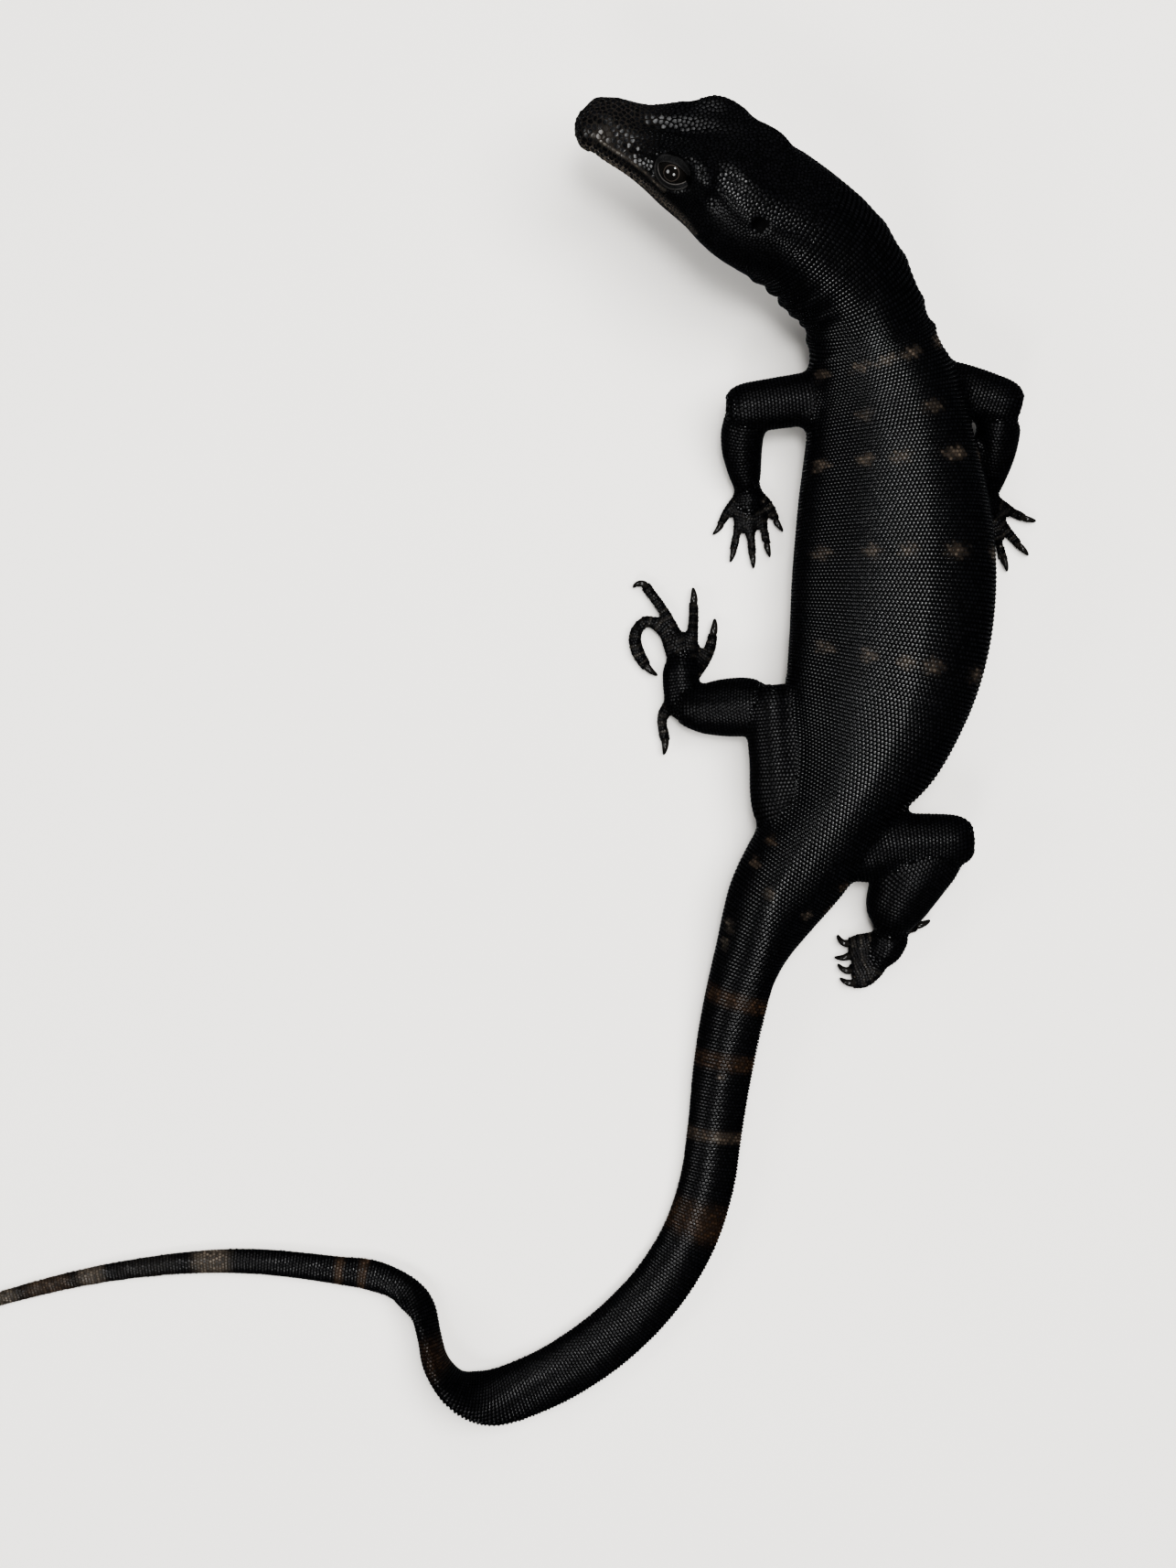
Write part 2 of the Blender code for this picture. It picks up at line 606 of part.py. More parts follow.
def jaw_block(grow):
    """Closed block that holds the lower jaw: its top is the mouth line and its back the corner of the mouth."""
    reach, below = JAW_BLOCK
    corners = []
    for row, (run, height) in enumerate(MOUTH_LINE):
        if row == len(MOUTH_LINE) - 1:
            run = run + grow
        for level in (height + grow, height - below):
            corners.append(mouth_point(run, reach, level))
            corners.append(mouth_point(run, -reach, level))
    count = len(MOUTH_LINE)
    faces = [(0, 1, 3, 2)]
    for row in range(count - 1):
        near = 4 * row
        far = near + 4
        faces.append((near, far, far + 1, near + 1))
        faces.append((near + 2, near + 3, far + 3, far + 2))
        faces.append((near, near + 2, far + 2, far))
        faces.append((near + 1, far + 1, far + 3, near + 3))
    last = 4 * (count - 1)
    faces.append((last, last + 2, last + 3, last + 1))
    mesh = bpy.data.meshes.new("jaw_block")
    mesh.from_pydata([tuple(corner) for corner in corners], [], faces)
    return add_object("jaw_block", face_outward(mesh))


def mouth_point(run, left, level):
    """As head_place, and straight on past the tip of the snout where the run is below zero."""
    if run >= 0:
        return head_place(run, left, level)
    ahead = unit(head_place(0.0, 0.0, 0.0) - head_place(0.001, 0.0, 0.0))
    return head_place(0.0, left, level) + ahead * -run


def build_head(skin, eye_dark):
    """Head with lips, lids, eye sockets, nostrils and ear cups, and the lower jaw cut free."""
    head = build_body_length(*LENGTHS[0], skin)
    pieces = []
    for mirror in (1, -1):
        pieces.append(ridge("lip", LIP_PATH, LIP_THICKNESS, mirror))
        pieces.append(lid_ring(mirror))
    join_pieces(head, pieces)
    socket = [EYE_RADIUS + SOCKET_CLEARANCE] * 3
    for mirror, side_name in ((1, "left"), (-1, "right")):
        boolean_with(head, ball("socket", EYE_PLACE, socket, mirror), "DIFFERENCE")
        boolean_with(head, ball("nostril", NOSTRIL_PLACE, NOSTRIL_SIZE, mirror, 8, 6), "DIFFERENCE")
        boolean_with(head, ball("ear_cup", EAR_PLACE, EAR_SIZE, mirror, 10, 7), "DIFFERENCE")
        eye = ball("eye_" + side_name, EYE_PLACE, [EYE_RADIUS] * 3, mirror)
        eye.data.materials.append(eye_dark)
    jaw = add_object("lower_jaw", head.data.copy())
    boolean_with(head, jaw_block(GAP / 2), "DIFFERENCE")
    boolean_with(jaw, jaw_block(-GAP / 2), "INTERSECT")


def body_cutter(first, last, count):
    """The body's own form, swollen by the gap, to trim what grows from it."""
    run = np.linspace(RUN_AT[first], RUN_AT[last], count)
    rings = body_points(run, SIDES["torso"], GAP)
    return add_object("body_cutter", tube_mesh("body_cutter", rings))


def limb_part(name, part, swelling=0.0):
    """Round-ended tube of one part of a limb, pressed flat where the floor is."""
    path = np.array(LIMBS[name][part])
    flatten = 0.9 if part == "foot" else 1.0
    rings = path_rings(path[:, :3], path[:, 3], LIMB_RINGS[part], LIMB_SIDES, swelling, flatten, round_ends=True)
    node = "_".join((name.split("_")[0], part, name.split("_")[1]))
    level = -swelling
    return add_object(node, tube_mesh(node, press_on_floor(rings, level)))


def build_limb(name, skin, horn):
    """Upper and lower limb, each trimmed where it grows from the last, then the foot with its toes and claws."""
    kind, side_name = name.split("_")
    first, last = ("lower_neck", "ribs") if kind == "forelimb" else ("loins", "tail_root")
    upper = limb_part(name, "upper")
    boolean_with(upper, body_cutter(first, last, 14), "DIFFERENCE")
    lower = limb_part(name, "lower")
    boolean_with(lower, limb_part(name, "upper", GAP), "DIFFERENCE")
    boolean_with(lower, body_cutter(first, last, 14), "DIFFERENCE")
    foot = limb_part(name, "foot")
    toes = []
    for number, toe in enumerate(TOES[name], 1):
        toes.append(build_toe(kind, toe))
        build_claw(kind, toe, "_".join((kind, "claw", side_name, str(number))), horn)
    join_pieces(foot, toes)
    boolean_with(foot, limb_part(name, "lower", GAP), "DIFFERENCE")
    for item in (upper, lower, foot):
        item.data.materials.append(skin)


def toe_path(kind, toe):
    """The toe's own points with their heights, led back a little way into the foot."""
    plan = np.asarray(toe, float)
    share = run_of(plan) / run_of(plan)[-1]
    heights = np.interp(share, (0.0, 0.5, 1.0), TOE_HEIGHTS[kind])
    points = np.column_stack([plan, heights])
    return np.vstack([points[0] + unit(points[0] - points[1]) * TOE_ROOT, points])


def build_toe(kind, toe):
    points = toe_path(kind, toe)
    share = run_of(points) / run_of(points)[-1]
    swell = 1.0 + TOE_SWELL * np.sin(share * math.pi * 3)
    radii = TOE_RADIUS[kind] * swell * np.interp(share, (0.0, 1.0), TOE_TAPER)
    count = 7 + 2 * (len(toe) - 3)
    rings = press_on_floor(path_rings(points, radii, count, TOE_SIDES))
    return add_object("toe", tube_mesh("toe", rings))


def build_claw(kind, toe, node, horn):
    """Curved claw on from the tip of its toe, bent down to the floor."""
    points = toe_path(kind, toe)
    ahead = headings(points, run_of(points)[-1:])[0]
    base = points[-1] + ahead * GAP
    length = CLAW_LENGTH[kind]
    level = unit(ahead * np.array([1.0, 1.0, 0.0]))
    rise = np.array([0.0, 0.0, 1.0])
    knuckle = base + ahead * length * CLAW_SHAPE[0][0] + rise * length * CLAW_SHAPE[0][1]
    middle = base + level * length * CLAW_SHAPE[1][0] + rise * length * CLAW_SHAPE[1][1]
    point = base + level * length
    point[2] = CLAW_POINT
    radius = CLAW_RADIUS[kind]
    rings = path_rings([base, knuckle, middle, point], [radius, radius * 0.9, radius * 0.6, CLAW_POINT], 6, 6)
    add_object(node, tube_mesh(node, press_on_floor(rings)), horn)


def smooth_shading():
    """Shades every piece as round, with a crease only where its faces turn sharply."""
    for item in bpy.data.objects:
        item.data.shade_smooth()
        item.data.set_sharp_from_angle(angle=math.radians(SHARP_TURN))


def build_all():
    clear_scene()
    skin = make_material("black_skin", SKIN_BLACK, 0.35)
    eye_dark = make_material("eye_dark", EYE_BLACK, 0.06)
    build_head(skin, eye_dark)
    horn = make_material("claw_horn", CLAW_HORN, 0.3)
    for name, start, end, count in LENGTHS[1:]:
        build_body_length(name, start, end, count, skin)
    for name in LIMBS:
        build_limb(name, skin, horn)
    smooth_shading()


build_all()
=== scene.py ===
# %% [markdown]
# # A young black water monitor
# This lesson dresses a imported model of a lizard, life size, lying on a level floor. The real animal is a
# soft body under one skin, and the skin is covered by some forty thousand small scales. We follow the
# same order: first one seamless skin, then its coat of scales, then lids, eyes and claws, and last the
# finishes, the floor and the light. Sizes are in metres, +Z is up, the floor is at 0, and the animal
# faces -Y with its left side towards +X.

import math

import bmesh
import bpy
import numpy as np
from mathutils.bvhtree import BVHTree
from mathutils.kdtree import KDTree
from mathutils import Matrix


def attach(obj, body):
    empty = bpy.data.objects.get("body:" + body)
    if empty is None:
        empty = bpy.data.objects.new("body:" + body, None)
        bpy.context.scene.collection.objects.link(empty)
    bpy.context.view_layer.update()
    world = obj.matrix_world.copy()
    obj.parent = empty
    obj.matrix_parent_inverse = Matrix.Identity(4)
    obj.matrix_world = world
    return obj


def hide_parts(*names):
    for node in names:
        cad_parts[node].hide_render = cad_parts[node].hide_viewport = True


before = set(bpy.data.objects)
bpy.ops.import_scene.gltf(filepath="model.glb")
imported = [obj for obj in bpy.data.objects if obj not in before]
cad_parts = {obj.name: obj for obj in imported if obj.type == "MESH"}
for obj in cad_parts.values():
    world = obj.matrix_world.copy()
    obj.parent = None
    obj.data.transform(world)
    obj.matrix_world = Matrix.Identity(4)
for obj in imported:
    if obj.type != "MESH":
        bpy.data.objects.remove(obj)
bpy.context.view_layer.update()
print("nodes in the frame:", len(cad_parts))

# %% [markdown]
# ## The measured body
# The body is measured along one smooth line from the snout to the tip of the tail, as a taxidermist
# measures a form. Each station has its place, how far the back leans over, and the size of the
# cross-section there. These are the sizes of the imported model, so whatever is built from them fits it.

# %% Stations along the body
# Each station: place, roll of the back towards the animal's right in degrees, half width, height above
# the axis, depth below it, and squareness of the outline (2 is an ellipse).
BODY = {
    "snout_tip": (0.0505, -0.0717, 0.0248, 32, 0.0014, 0.0011, 0.0012, 2.0),
    "snout_end": (0.0497, -0.0714, 0.0249, 32, 0.0032, 0.0024, 0.0027, 2.1),
    "nostrils": (0.0464, -0.0705, 0.0252, 32, 0.0048, 0.0037, 0.0037, 2.3),
    "mid_snout": (0.0405, -0.0683, 0.0253, 33, 0.0062, 0.0039, 0.0048, 2.6),
    "eyes": (0.0345, -0.0661, 0.0251, 34, 0.0082, 0.0058, 0.0069, 2.8),
    "temples": (0.0285, -0.0634, 0.0245, 33, 0.0098, 0.0078, 0.0083, 2.6),
    "ears": (0.0222, -0.0593, 0.0234, 30, 0.0103, 0.0086, 0.0098, 2.3),
    "nape": (0.0158, -0.0558, 0.0215, 24, 0.0099, 0.0091, 0.0112, 2.1),
    "upper_neck": (0.0100, -0.0515, 0.0186, 17, 0.0096, 0.0094, 0.0102, 2.0),
    "mid_neck": (0.0056, -0.0460, 0.0154, 10, 0.0092, 0.0092, 0.0100, 2.0),
    "lower_neck": (0.0032, -0.0396, 0.0124, 4, 0.0100, 0.0094, 0.0102, 2.1),
    "shoulders": (0.0012, -0.0325, 0.0106, 0, 0.0118, 0.0100, 0.0107, 2.2),
    "chest": (0.0001, -0.0250, 0.0098, 0, 0.0133, 0.0106, 0.0100, 2.2),
    "ribs": (-0.0007, -0.0140, 0.0094, 0, 0.0153, 0.0112, 0.0098, 2.2),
    "belly": (-0.0009, -0.0010, 0.0094, 0, 0.0165, 0.0113, 0.0098, 2.2),
    "flanks": (-0.0001, 0.0090, 0.0092, 0, 0.0162, 0.0111, 0.0096, 2.2),
    "loins": (0.0017, 0.0178, 0.0088, 0, 0.0151, 0.0105, 0.0092, 2.2),
    "groin": (0.0043, 0.0266, 0.0084, 0, 0.0130, 0.0097, 0.0088, 2.1),
    "pelvis": (0.0082, 0.0350, 0.0080, 2, 0.0093, 0.0089, 0.0084, 2.1),
    "vent": (0.0130, 0.0432, 0.0075, 6, 0.0090, 0.0084, 0.0077, 2.1),
    "tail_root": (0.0185, 0.0518, 0.0067, 16, 0.0079, 0.0078, 0.0069, 2.0),
    "tail_a": (0.0226, 0.0608, 0.0056, 34, 0.0056, 0.0064, 0.0058, 1.9),
    "tail_b": (0.0253, 0.0700, 0.0045, 56, 0.0043, 0.0054, 0.0050, 1.9),
    "tail_c": (0.0270, 0.0795, 0.0038, 72, 0.0035, 0.0048, 0.0046, 1.9),
    "tail_d": (0.0282, 0.0890, 0.0031, 80, 0.0030, 0.0044, 0.0042, 1.9),
    "tail_e": (0.0296, 0.0986, 0.0027, 84, 0.0028, 0.0044, 0.0042, 1.9),
    "tail_f": (0.0324, 0.1072, 0.0025, 85, 0.0026, 0.0045, 0.0043, 1.9),
    "tail_g": (0.0369, 0.1148, 0.0025, 85, 0.0026, 0.0046, 0.0044, 1.9),
    "tail_h": (0.0430, 0.1216, 0.0025, 85, 0.00255, 0.0047, 0.0045, 1.9),
    "tail_i": (0.0500, 0.1272, 0.0024, 85, 0.0025, 0.0047, 0.0045, 1.9),
    "tail_j": (0.0582, 0.1317, 0.0025, 80, 0.00245, 0.0046, 0.0044, 1.9),
    "tail_k": (0.0656, 0.1336, 0.0034, 56, 0.0024, 0.0046, 0.0043, 1.9),
    "tail_bend": (0.0708, 0.1321, 0.0042, 18, 0.0024, 0.0047, 0.0042, 1.9),
    "tail_l": (0.0740, 0.1282, 0.0042, 4, 0.0022, 0.0046, 0.0041, 1.9),
    "tail_m": (0.0752, 0.1236, 0.0038, 8, 0.0019, 0.0040, 0.0036, 1.9),
    "tail_n": (0.0764, 0.1194, 0.0031, 22, 0.0019, 0.0034, 0.0032, 1.9),
    "tail_o": (0.0797, 0.1159, 0.0021, 62, 0.0018, 0.0024, 0.0023, 1.9),
    "tail_p": (0.0849, 0.1139, 0.0016, 80, 0.0016, 0.0024, 0.0024, 1.9),
    "tail_q": (0.0900, 0.1132, 0.0014, 82, 0.0015, 0.0022, 0.0022, 1.9),
    "tail_r": (0.1066, 0.1116, 0.0012, 82, 0.00125, 0.0020, 0.0019, 1.9),
    "tail_s": (0.1264, 0.1132, 0.0010, 82, 0.00105, 0.0016, 0.00145, 1.9),
    "tail_t": (0.1471, 0.1180, 0.0008, 82, 0.00085, 0.00125, 0.0011, 1.9),
    "tail_u": (0.1680, 0.1255, 0.0006, 82, 0.0006, 0.00085, 0.0008, 1.9),
    "tail_tip": (0.1850, 0.1335, 0.00035, 82, 0.0003, 0.0004, 0.00035, 1.9),
}
KEEL_HEIGHT = 0.0006
KEEL_START = "tail_root"
KEEL_FADE_IN = 0.02
KEEL_FADE_OUT = 0.15
KEEL_POWER = 10
STATION_NAMES = list(BODY)
STATIONS = np.array([BODY[name] for name in STATION_NAMES])

# %% Limbs and toes
# Each part of a limb: the places of its middle line, with the radius there.
LIMBS = {
    "forelimb_left": {
        "upper": (
            (0.0040, -0.0322, 0.0092, 0.0042),
            (0.0130, -0.0306, 0.0098, 0.0043),
            (0.0262, -0.0286, 0.0100, 0.0040),
        ),
        "lower": (
            (0.0230, -0.0296, 0.0100, 0.0036),
            (0.0236, -0.0240, 0.0066, 0.0035),
            (0.0224, -0.0166, 0.0026, 0.0022),
        ),
        "foot": (
            (0.0230, -0.0196, 0.0034, 0.0022),
            (0.0222, -0.0160, 0.0019, 0.0023),
            (0.0220, -0.0128, 0.0017, 0.0022),
        ),
    },
    "forelimb_right": {
        "upper": (
            (-0.0025, -0.0335, 0.0092, 0.0042),
            (-0.0097, -0.0325, 0.0098, 0.0043),
            (-0.0216, -0.0288, 0.0100, 0.0040),
        ),
        "lower": (
            (-0.0184, -0.0292, 0.0100, 0.0036),
            (-0.0182, -0.0236, 0.0068, 0.0036),
            (-0.0170, -0.0158, 0.0026, 0.0023),
        ),
        "foot": (
            (-0.0174, -0.0188, 0.0034, 0.0022),
            (-0.0172, -0.0152, 0.0019, 0.0023),
            (-0.0177, -0.0120, 0.0017, 0.0022),
        ),
    },
    "hindlimb_left": {
        "upper": (
            (0.0090, 0.0404, 0.0076, 0.0046),
            (0.0160, 0.0376, 0.0080, 0.0050),
            (0.0180, 0.0275, 0.0084, 0.0046),
            (0.0190, 0.0160, 0.0082, 0.0043),
        ),
        "lower": (
            (0.0180, 0.0192, 0.0078, 0.0045),
            (0.0250, 0.0196, 0.0054, 0.0049),
            (0.0338, 0.0198, 0.0034, 0.0034),
        ),
        "foot": (
            (0.0328, 0.0208, 0.0032, 0.0032),
            (0.0334, 0.0160, 0.0025, 0.0031),
            (0.0334, 0.0110, 0.0021, 0.0032),
        ),
    },
    "hindlimb_right": {
        "upper": (
            (0.0075, 0.0440, 0.0078, 0.0058),
            (-0.0010, 0.0422, 0.0084, 0.0051),
            (-0.0142, 0.0414, 0.0086, 0.0042),
        ),
        "lower": (
            (-0.0106, 0.0416, 0.0082, 0.0043),
            (-0.0037, 0.0484, 0.0064, 0.0058),
            (-0.0006, 0.0562, 0.0036, 0.0038),
        ),
        "foot": (
            (-0.0024, 0.0553, 0.0032, 0.0030),
            (-0.0010, 0.0588, 0.0025, 0.0030),
            (0.0006, 0.0616, 0.0021, 0.0030),
        ),
    },
}

# Toes on the floor plan, from base to tip, innermost first.
TOE_RADIUS = {"forelimb": 0.00105, "hindlimb": 0.00125}
TOES = {
    "forelimb_left": (
        ((0.0208, -0.0160), (0.0186, -0.0140), (0.0174, -0.0114)),
        ((0.0214, -0.0140), (0.0197, -0.0110), (0.0190, -0.0074)),
        ((0.0220, -0.0134), (0.0218, -0.0100), (0.0214, -0.0056)),
        ((0.0227, -0.0138), (0.0239, -0.0106), (0.0246, -0.0066)),
        ((0.0232, -0.0156), (0.0254, -0.0136), (0.0268, -0.0108)),
    ),
    "forelimb_right": (
        ((-0.0162, -0.0150), (-0.0147, -0.0128), (-0.0140, -0.0100)),
        ((-0.0170, -0.0132), (-0.0170, -0.0098), (-0.0174, -0.0060)),
        ((-0.0177, -0.0126), (-0.0192, -0.0092), (-0.0206, -0.0050)),
        ((-0.0183, -0.0132), (-0.0209, -0.0102), (-0.0234, -0.0072)),
        ((-0.0186, -0.0150), (-0.0214, -0.0134), (-0.0242, -0.0120)),
    ),
    "hindlimb_left": (
        ((0.0312, 0.0135), (0.0289, 0.0105), (0.0279, 0.0068)),
        ((0.0322, 0.0110), (0.0314, 0.0065), (0.0312, 0.0016)),
        ((0.0336, 0.0100), (0.0354, 0.0050), (0.0394, -0.0010)),
        (
            (0.0344, 0.0108),
            (0.0362, 0.0068),
            (0.0392, 0.0051),
            (0.0410, 0.0072),
            (0.0405, 0.0104),
            (0.0390, 0.0128),
        ),
        ((0.0346, 0.0185), (0.0364, 0.0208), (0.0360, 0.0252)),
    ),
    "hindlimb_right": (
        ((0.0018, 0.0580), (0.0040, 0.0584), (0.0057, 0.0589)),
        ((0.0018, 0.0598), (0.0037, 0.0602), (0.0055, 0.0610)),
        ((0.0014, 0.0614), (0.0033, 0.0626), (0.0053, 0.0634)),
        ((0.0002, 0.0620), (0.0012, 0.0641), (0.0032, 0.0652), (0.0048, 0.0655)),
        ((-0.0030, 0.0560), (-0.0048, 0.0560), (-0.0062, 0.0558)),
    ),
}
TOE_HEIGHTS = {"forelimb": (0.0018, 0.0014, 0.0008), "hindlimb": (0.0021, 0.0017, 0.0010)}
CLAW_LENGTH = {"forelimb": 0.0022, "hindlimb": 0.0026}
CLAW_RADIUS = {"forelimb": 0.00050, "hindlimb": 0.00058}
CLAW_POINT = 0.00015
# Height of a claw's middle line over its root, by share of its length, in lengths; the point goes to the
# floor.
CLAW_ARCH = ((0.0, 0.0), (0.30, 0.16), (0.60, 0.12), (0.85, -0.05))
# How far each foot's claws hook sideways, in degrees, innermost toe first; towards the animal's left is
# positive.
CLAW_HOOKS = {
    "forelimb_left": (20, 10, 0, -10, -25),
    "forelimb_right": (-20, -10, 0, 10, 25),
    "hindlimb_left": (15, 10, 105, 30, -20),
    "hindlimb_right": (-95, -30, -80, -50, 20),
}
TOE_ROOT = 0.0022
TOE_SWELL = 0.14
TOE_TAPER = (1.15, 0.80)

# %% Head features
# Places on the head are run from the snout, left, and up, from the body axis in its turned frame.
EYE_PLACE = (0.0173, 0.0062, 0.0028)
EYE_RADIUS = 0.0026
GAZE = (-0.0010, 0.0050, 0.0012)
NOSTRIL_PLACE = (0.0048, 0.0048, 0.0022)
EAR_PLACE = (0.0320, 0.0087, 0.0048)

# Soft swellings and hollows of the head, on both sides: run from the snout, angle above the side in
# degrees, height, then how far it spreads along the head and round it in degrees.
HEAD_SWELLINGS = (
    (0.0188, 49, 0.0021, 0.0038, 13),
    (0.0216, 33, 0.0011, 0.0024, 12),
    (0.0222, 16, 0.0007, 0.0018, 13),
    (0.0122, 44, 0.0006, 0.0030, 10),
    (0.0170, 2, 0.0005, 0.0034, 10),
    (0.0044, 66, 0.0004, 0.0020, 20),
    (0.0100, 20, -0.0004, 0.0028, 11),
    (0.0272, 62, 0.0008, 0.0036, 16),
    (0.0300, -14, 0.0008, 0.0044, 22),
)
HEAD_HOLLOW = (0.0160, 90, -0.0014, 0.0065, 13)
# The mouth line: run from the snout, and its height against the axis.
MOUTH_LINE = ((-0.0030, -0.0012), (0.0010, -0.0013), (0.0080, -0.0020), (0.0160, -0.0030), (0.0240, -0.0046))
GULAR_FOLDS = ((0.0385, 0.0006), (0.0430, 0.0012), (0.0475, 0.0018), (0.0515, 0.0018), (0.0560, 0.0007))
FOLD_WIDTH = 0.0014
FOLD_UNDER_POWER = 0.7

# %% [markdown]
# ## Curves and frames
# Everything later is worked out from a smooth curve through known points, and from two directions square
# to it: one to the side and one up. With them a place on the animal is a run along the line and an angle
# round it.

# %% Smooth curves
DIRECTION_STEP = 0.0003


def smooth_through(knots, values, at):
    """Cubic curve through the values: its slope at each knot is that of the two neighbours."""
    knots = np.asarray(knots, float)
    values = np.asarray(values, float)
    slopes = np.gradient(values, knots, axis=0)
    at = np.clip(np.atleast_1d(np.asarray(at, float)), knots[0], knots[-1])
    left = np.clip(np.searchsorted(knots, at, side="right") - 1, 0, len(knots) - 2)
    span = (knots[left + 1] - knots[left])[:, None]
    part = (at - knots[left])[:, None] / span
    rise = part * part * (3 - 2 * part)
    lead = part * (1 - part) ** 2 * span
    trail = -part * part * (1 - part) * span
    value = values[left] * (1 - rise) + values[left + 1] * rise
    return value + slopes[left] * lead + slopes[left + 1] * trail


def at_run(table, run):
    """Value at each run, straight between the rows of a table of run and value."""
    table = np.array(table)
    return np.interp(run, table[:, 0], table[:, 1])


def run_of(points):
    """Distance along a list of points, from the first one."""
    steps = np.linalg.norm(np.diff(points, axis=0), axis=1)
    return np.concatenate([[0.0], np.cumsum(steps)])


def unit(vectors):
    """Vectors of length one."""
    return vectors / np.maximum(np.linalg.norm(vectors, axis=-1, keepdims=True), 1e-12)


def dot(a, b):
    """Dot product of two arrays of vectors, row by row."""
    return np.sum(a * b, axis=-1)


def frames_along(tangents, roll):
    """Side and up vectors square to a path: up leans to the animal's right by the roll, in radians."""
    level_side = unit(np.cross(tangents, np.array([0.0, 0.0, 1.0])))
    level_up = np.cross(level_side, tangents)
    cosine = np.cos(roll)[:, None]
    sine = np.sin(roll)[:, None]
    return level_side * cosine + level_up * sine, level_up * cosine - level_side * sine


BODY_RUN = run_of(STATIONS[:, :3])
RUN_AT = dict(zip(STATION_NAMES, BODY_RUN))
BODY_LENGTH = BODY_RUN[-1]
print("body length along its line:", round(BODY_LENGTH * 1000), "mm")

# %% Frames of the body
def body_frame(run):
    """Centre, side, up and outline sizes of the body at each run."""
    run = np.atleast_1d(np.asarray(run, float))
    state = smooth_through(BODY_RUN, STATIONS, run)
    ahead = smooth_through(BODY_RUN, STATIONS[:, :3], run + DIRECTION_STEP)
    behind = smooth_through(BODY_RUN, STATIONS[:, :3], run - DIRECTION_STEP)
    side, up = frames_along(unit(ahead - behind), np.radians(state[:, 3]))
    return state[:, :3], side, up, state[:, 4:]


AXIS_SAMPLES = 2400
AXIS_RUN = np.linspace(0.0, BODY_LENGTH, AXIS_SAMPLES)
AXIS_CENTRE, AXIS_SIDE, AXIS_UP, AXIS_SIZE = body_frame(AXIS_RUN)
COMPARED_AT_ONCE = 4000


def nearest_rows(points, targets):
    """Index of the target nearest to each point, compared in blocks to spare memory."""
    found = np.empty(len(points), int)
    weight = dot(targets, targets)
    for start in range(0, len(points), COMPARED_AT_ONCE):
        block = points[start : start + COMPARED_AT_ONCE]
        found[start : start + len(block)] = np.argmin(weight[None, :] - 2 * block @ targets.T, axis=1)
    return found


def body_place(points):
    """Run, left and up of any points, from the nearest place on the body's line."""
    near = nearest_rows(points, AXIS_CENTRE)
    offset = points - AXIS_CENTRE[near]
    return AXIS_RUN[near], dot(offset, AXIS_SIDE[near]), dot(offset, AXIS_UP[near]), near


# %% [markdown]
# ## The outline and its soft forms
# A lizard's cross-section is nearly an ellipse, squarer at the head. Brows, canthal ridges, temples and
# cheeks are soft swellings on it, folds of loose skin cross the throat, and the tail carries a low keel.
# Each of these is a small bell curve of run and angle, so the same few numbers shape the solid and the
# skin.

# %% Swellings, folds and keel
def soft_spot(run, angle, spot, mirror=1):
    """Bell-shaped swelling round one place of the head's outline."""
    place, around, height, spread, turn = spot
    middle = math.radians(around if mirror > 0 else 180 - around)
    apart = (angle - middle + math.pi) % (2 * math.pi) - math.pi
    return height * np.exp(-(((run - place) / spread) ** 2) - (apart / math.radians(turn)) ** 2)


def head_swell(run, angle):
    """Sum of the head's soft spots on both sides, and the hollow between the brows."""
    swell = soft_spot(run, angle, HEAD_HOLLOW)
    for spot in HEAD_SWELLINGS:
        swell = swell + soft_spot(run, angle, spot) + soft_spot(run, angle, spot, -1)
    return swell


def muscle_swell(run, angle):
    """Jaw muscles behind the eyes, and the thin crest of skin that runs over each eye."""
    swell = 0.0
    for mirror in (1, -1):
        for spot in HEAD_MUSCLES:
            swell = swell + soft_spot(run, angle, spot, mirror)
        turned = (angle if mirror > 0 else math.pi - angle)
        turned = (turned + math.pi) % (2 * math.pi) - math.pi
        crest = np.array(BROW_CREST)
        line = np.interp(run, crest[:, 0], np.radians(crest[:, 1]))
        fade = np.interp(run, crest[:, 0], crest[:, 2], left=0.0, right=0.0)
        swell = swell + fade * np.exp(-(((turned - line) / math.radians(CREST_TURN)) ** 2))
    return swell


def fold_swell(run, angle):
    """Cross folds of loose skin under the throat: bell curves of the run, strongest underneath."""
    under = np.clip(-np.sin(angle), 0.0, 1.0) ** FOLD_UNDER_POWER
    swell = 0.0
    for place, height in GULAR_FOLDS:
        swell = swell + height * np.exp(-(((run - place) / FOLD_WIDTH) ** 2)) * under
    return swell


def keel_swell(run, angle):
    """Ridge along the top of the tail: a high power of the sine keeps it narrow."""
    strength = np.clip((run - RUN_AT[KEEL_START]) / KEEL_FADE_IN, 0.0, 1.0)
    strength = strength * np.clip((BODY_LENGTH - run) / KEEL_FADE_OUT, 0.0, 1.0)
    return KEEL_HEIGHT * strength * np.clip(np.sin(angle), 0.0, 1.0) ** KEEL_POWER


# Swellings that only the skin has, written as for the head, and the crest over the eye: run, angle, height.
HEAD_MUSCLES = (
    (0.0285, 62, 0.00035, 0.0042, 9),
    (0.0300, 34, 0.00040, 0.0050, 10),
    (0.0290, 49, -0.00020, 0.0052, 7),
    (0.0250, 22, -0.00045, 0.0026, 10),
)
BROW_CREST = (
    (0.0120, 36, 0.0),
    (0.0140, 45, 0.00018),
    (0.0170, 52, 0.00030),
    (0.0200, 52, 0.00030),
    (0.0222, 44, 0.00022),
    (0.0234, 34, 0.00012),
    (0.0245, 22, 0.0),
)
CREST_TURN = 7.0
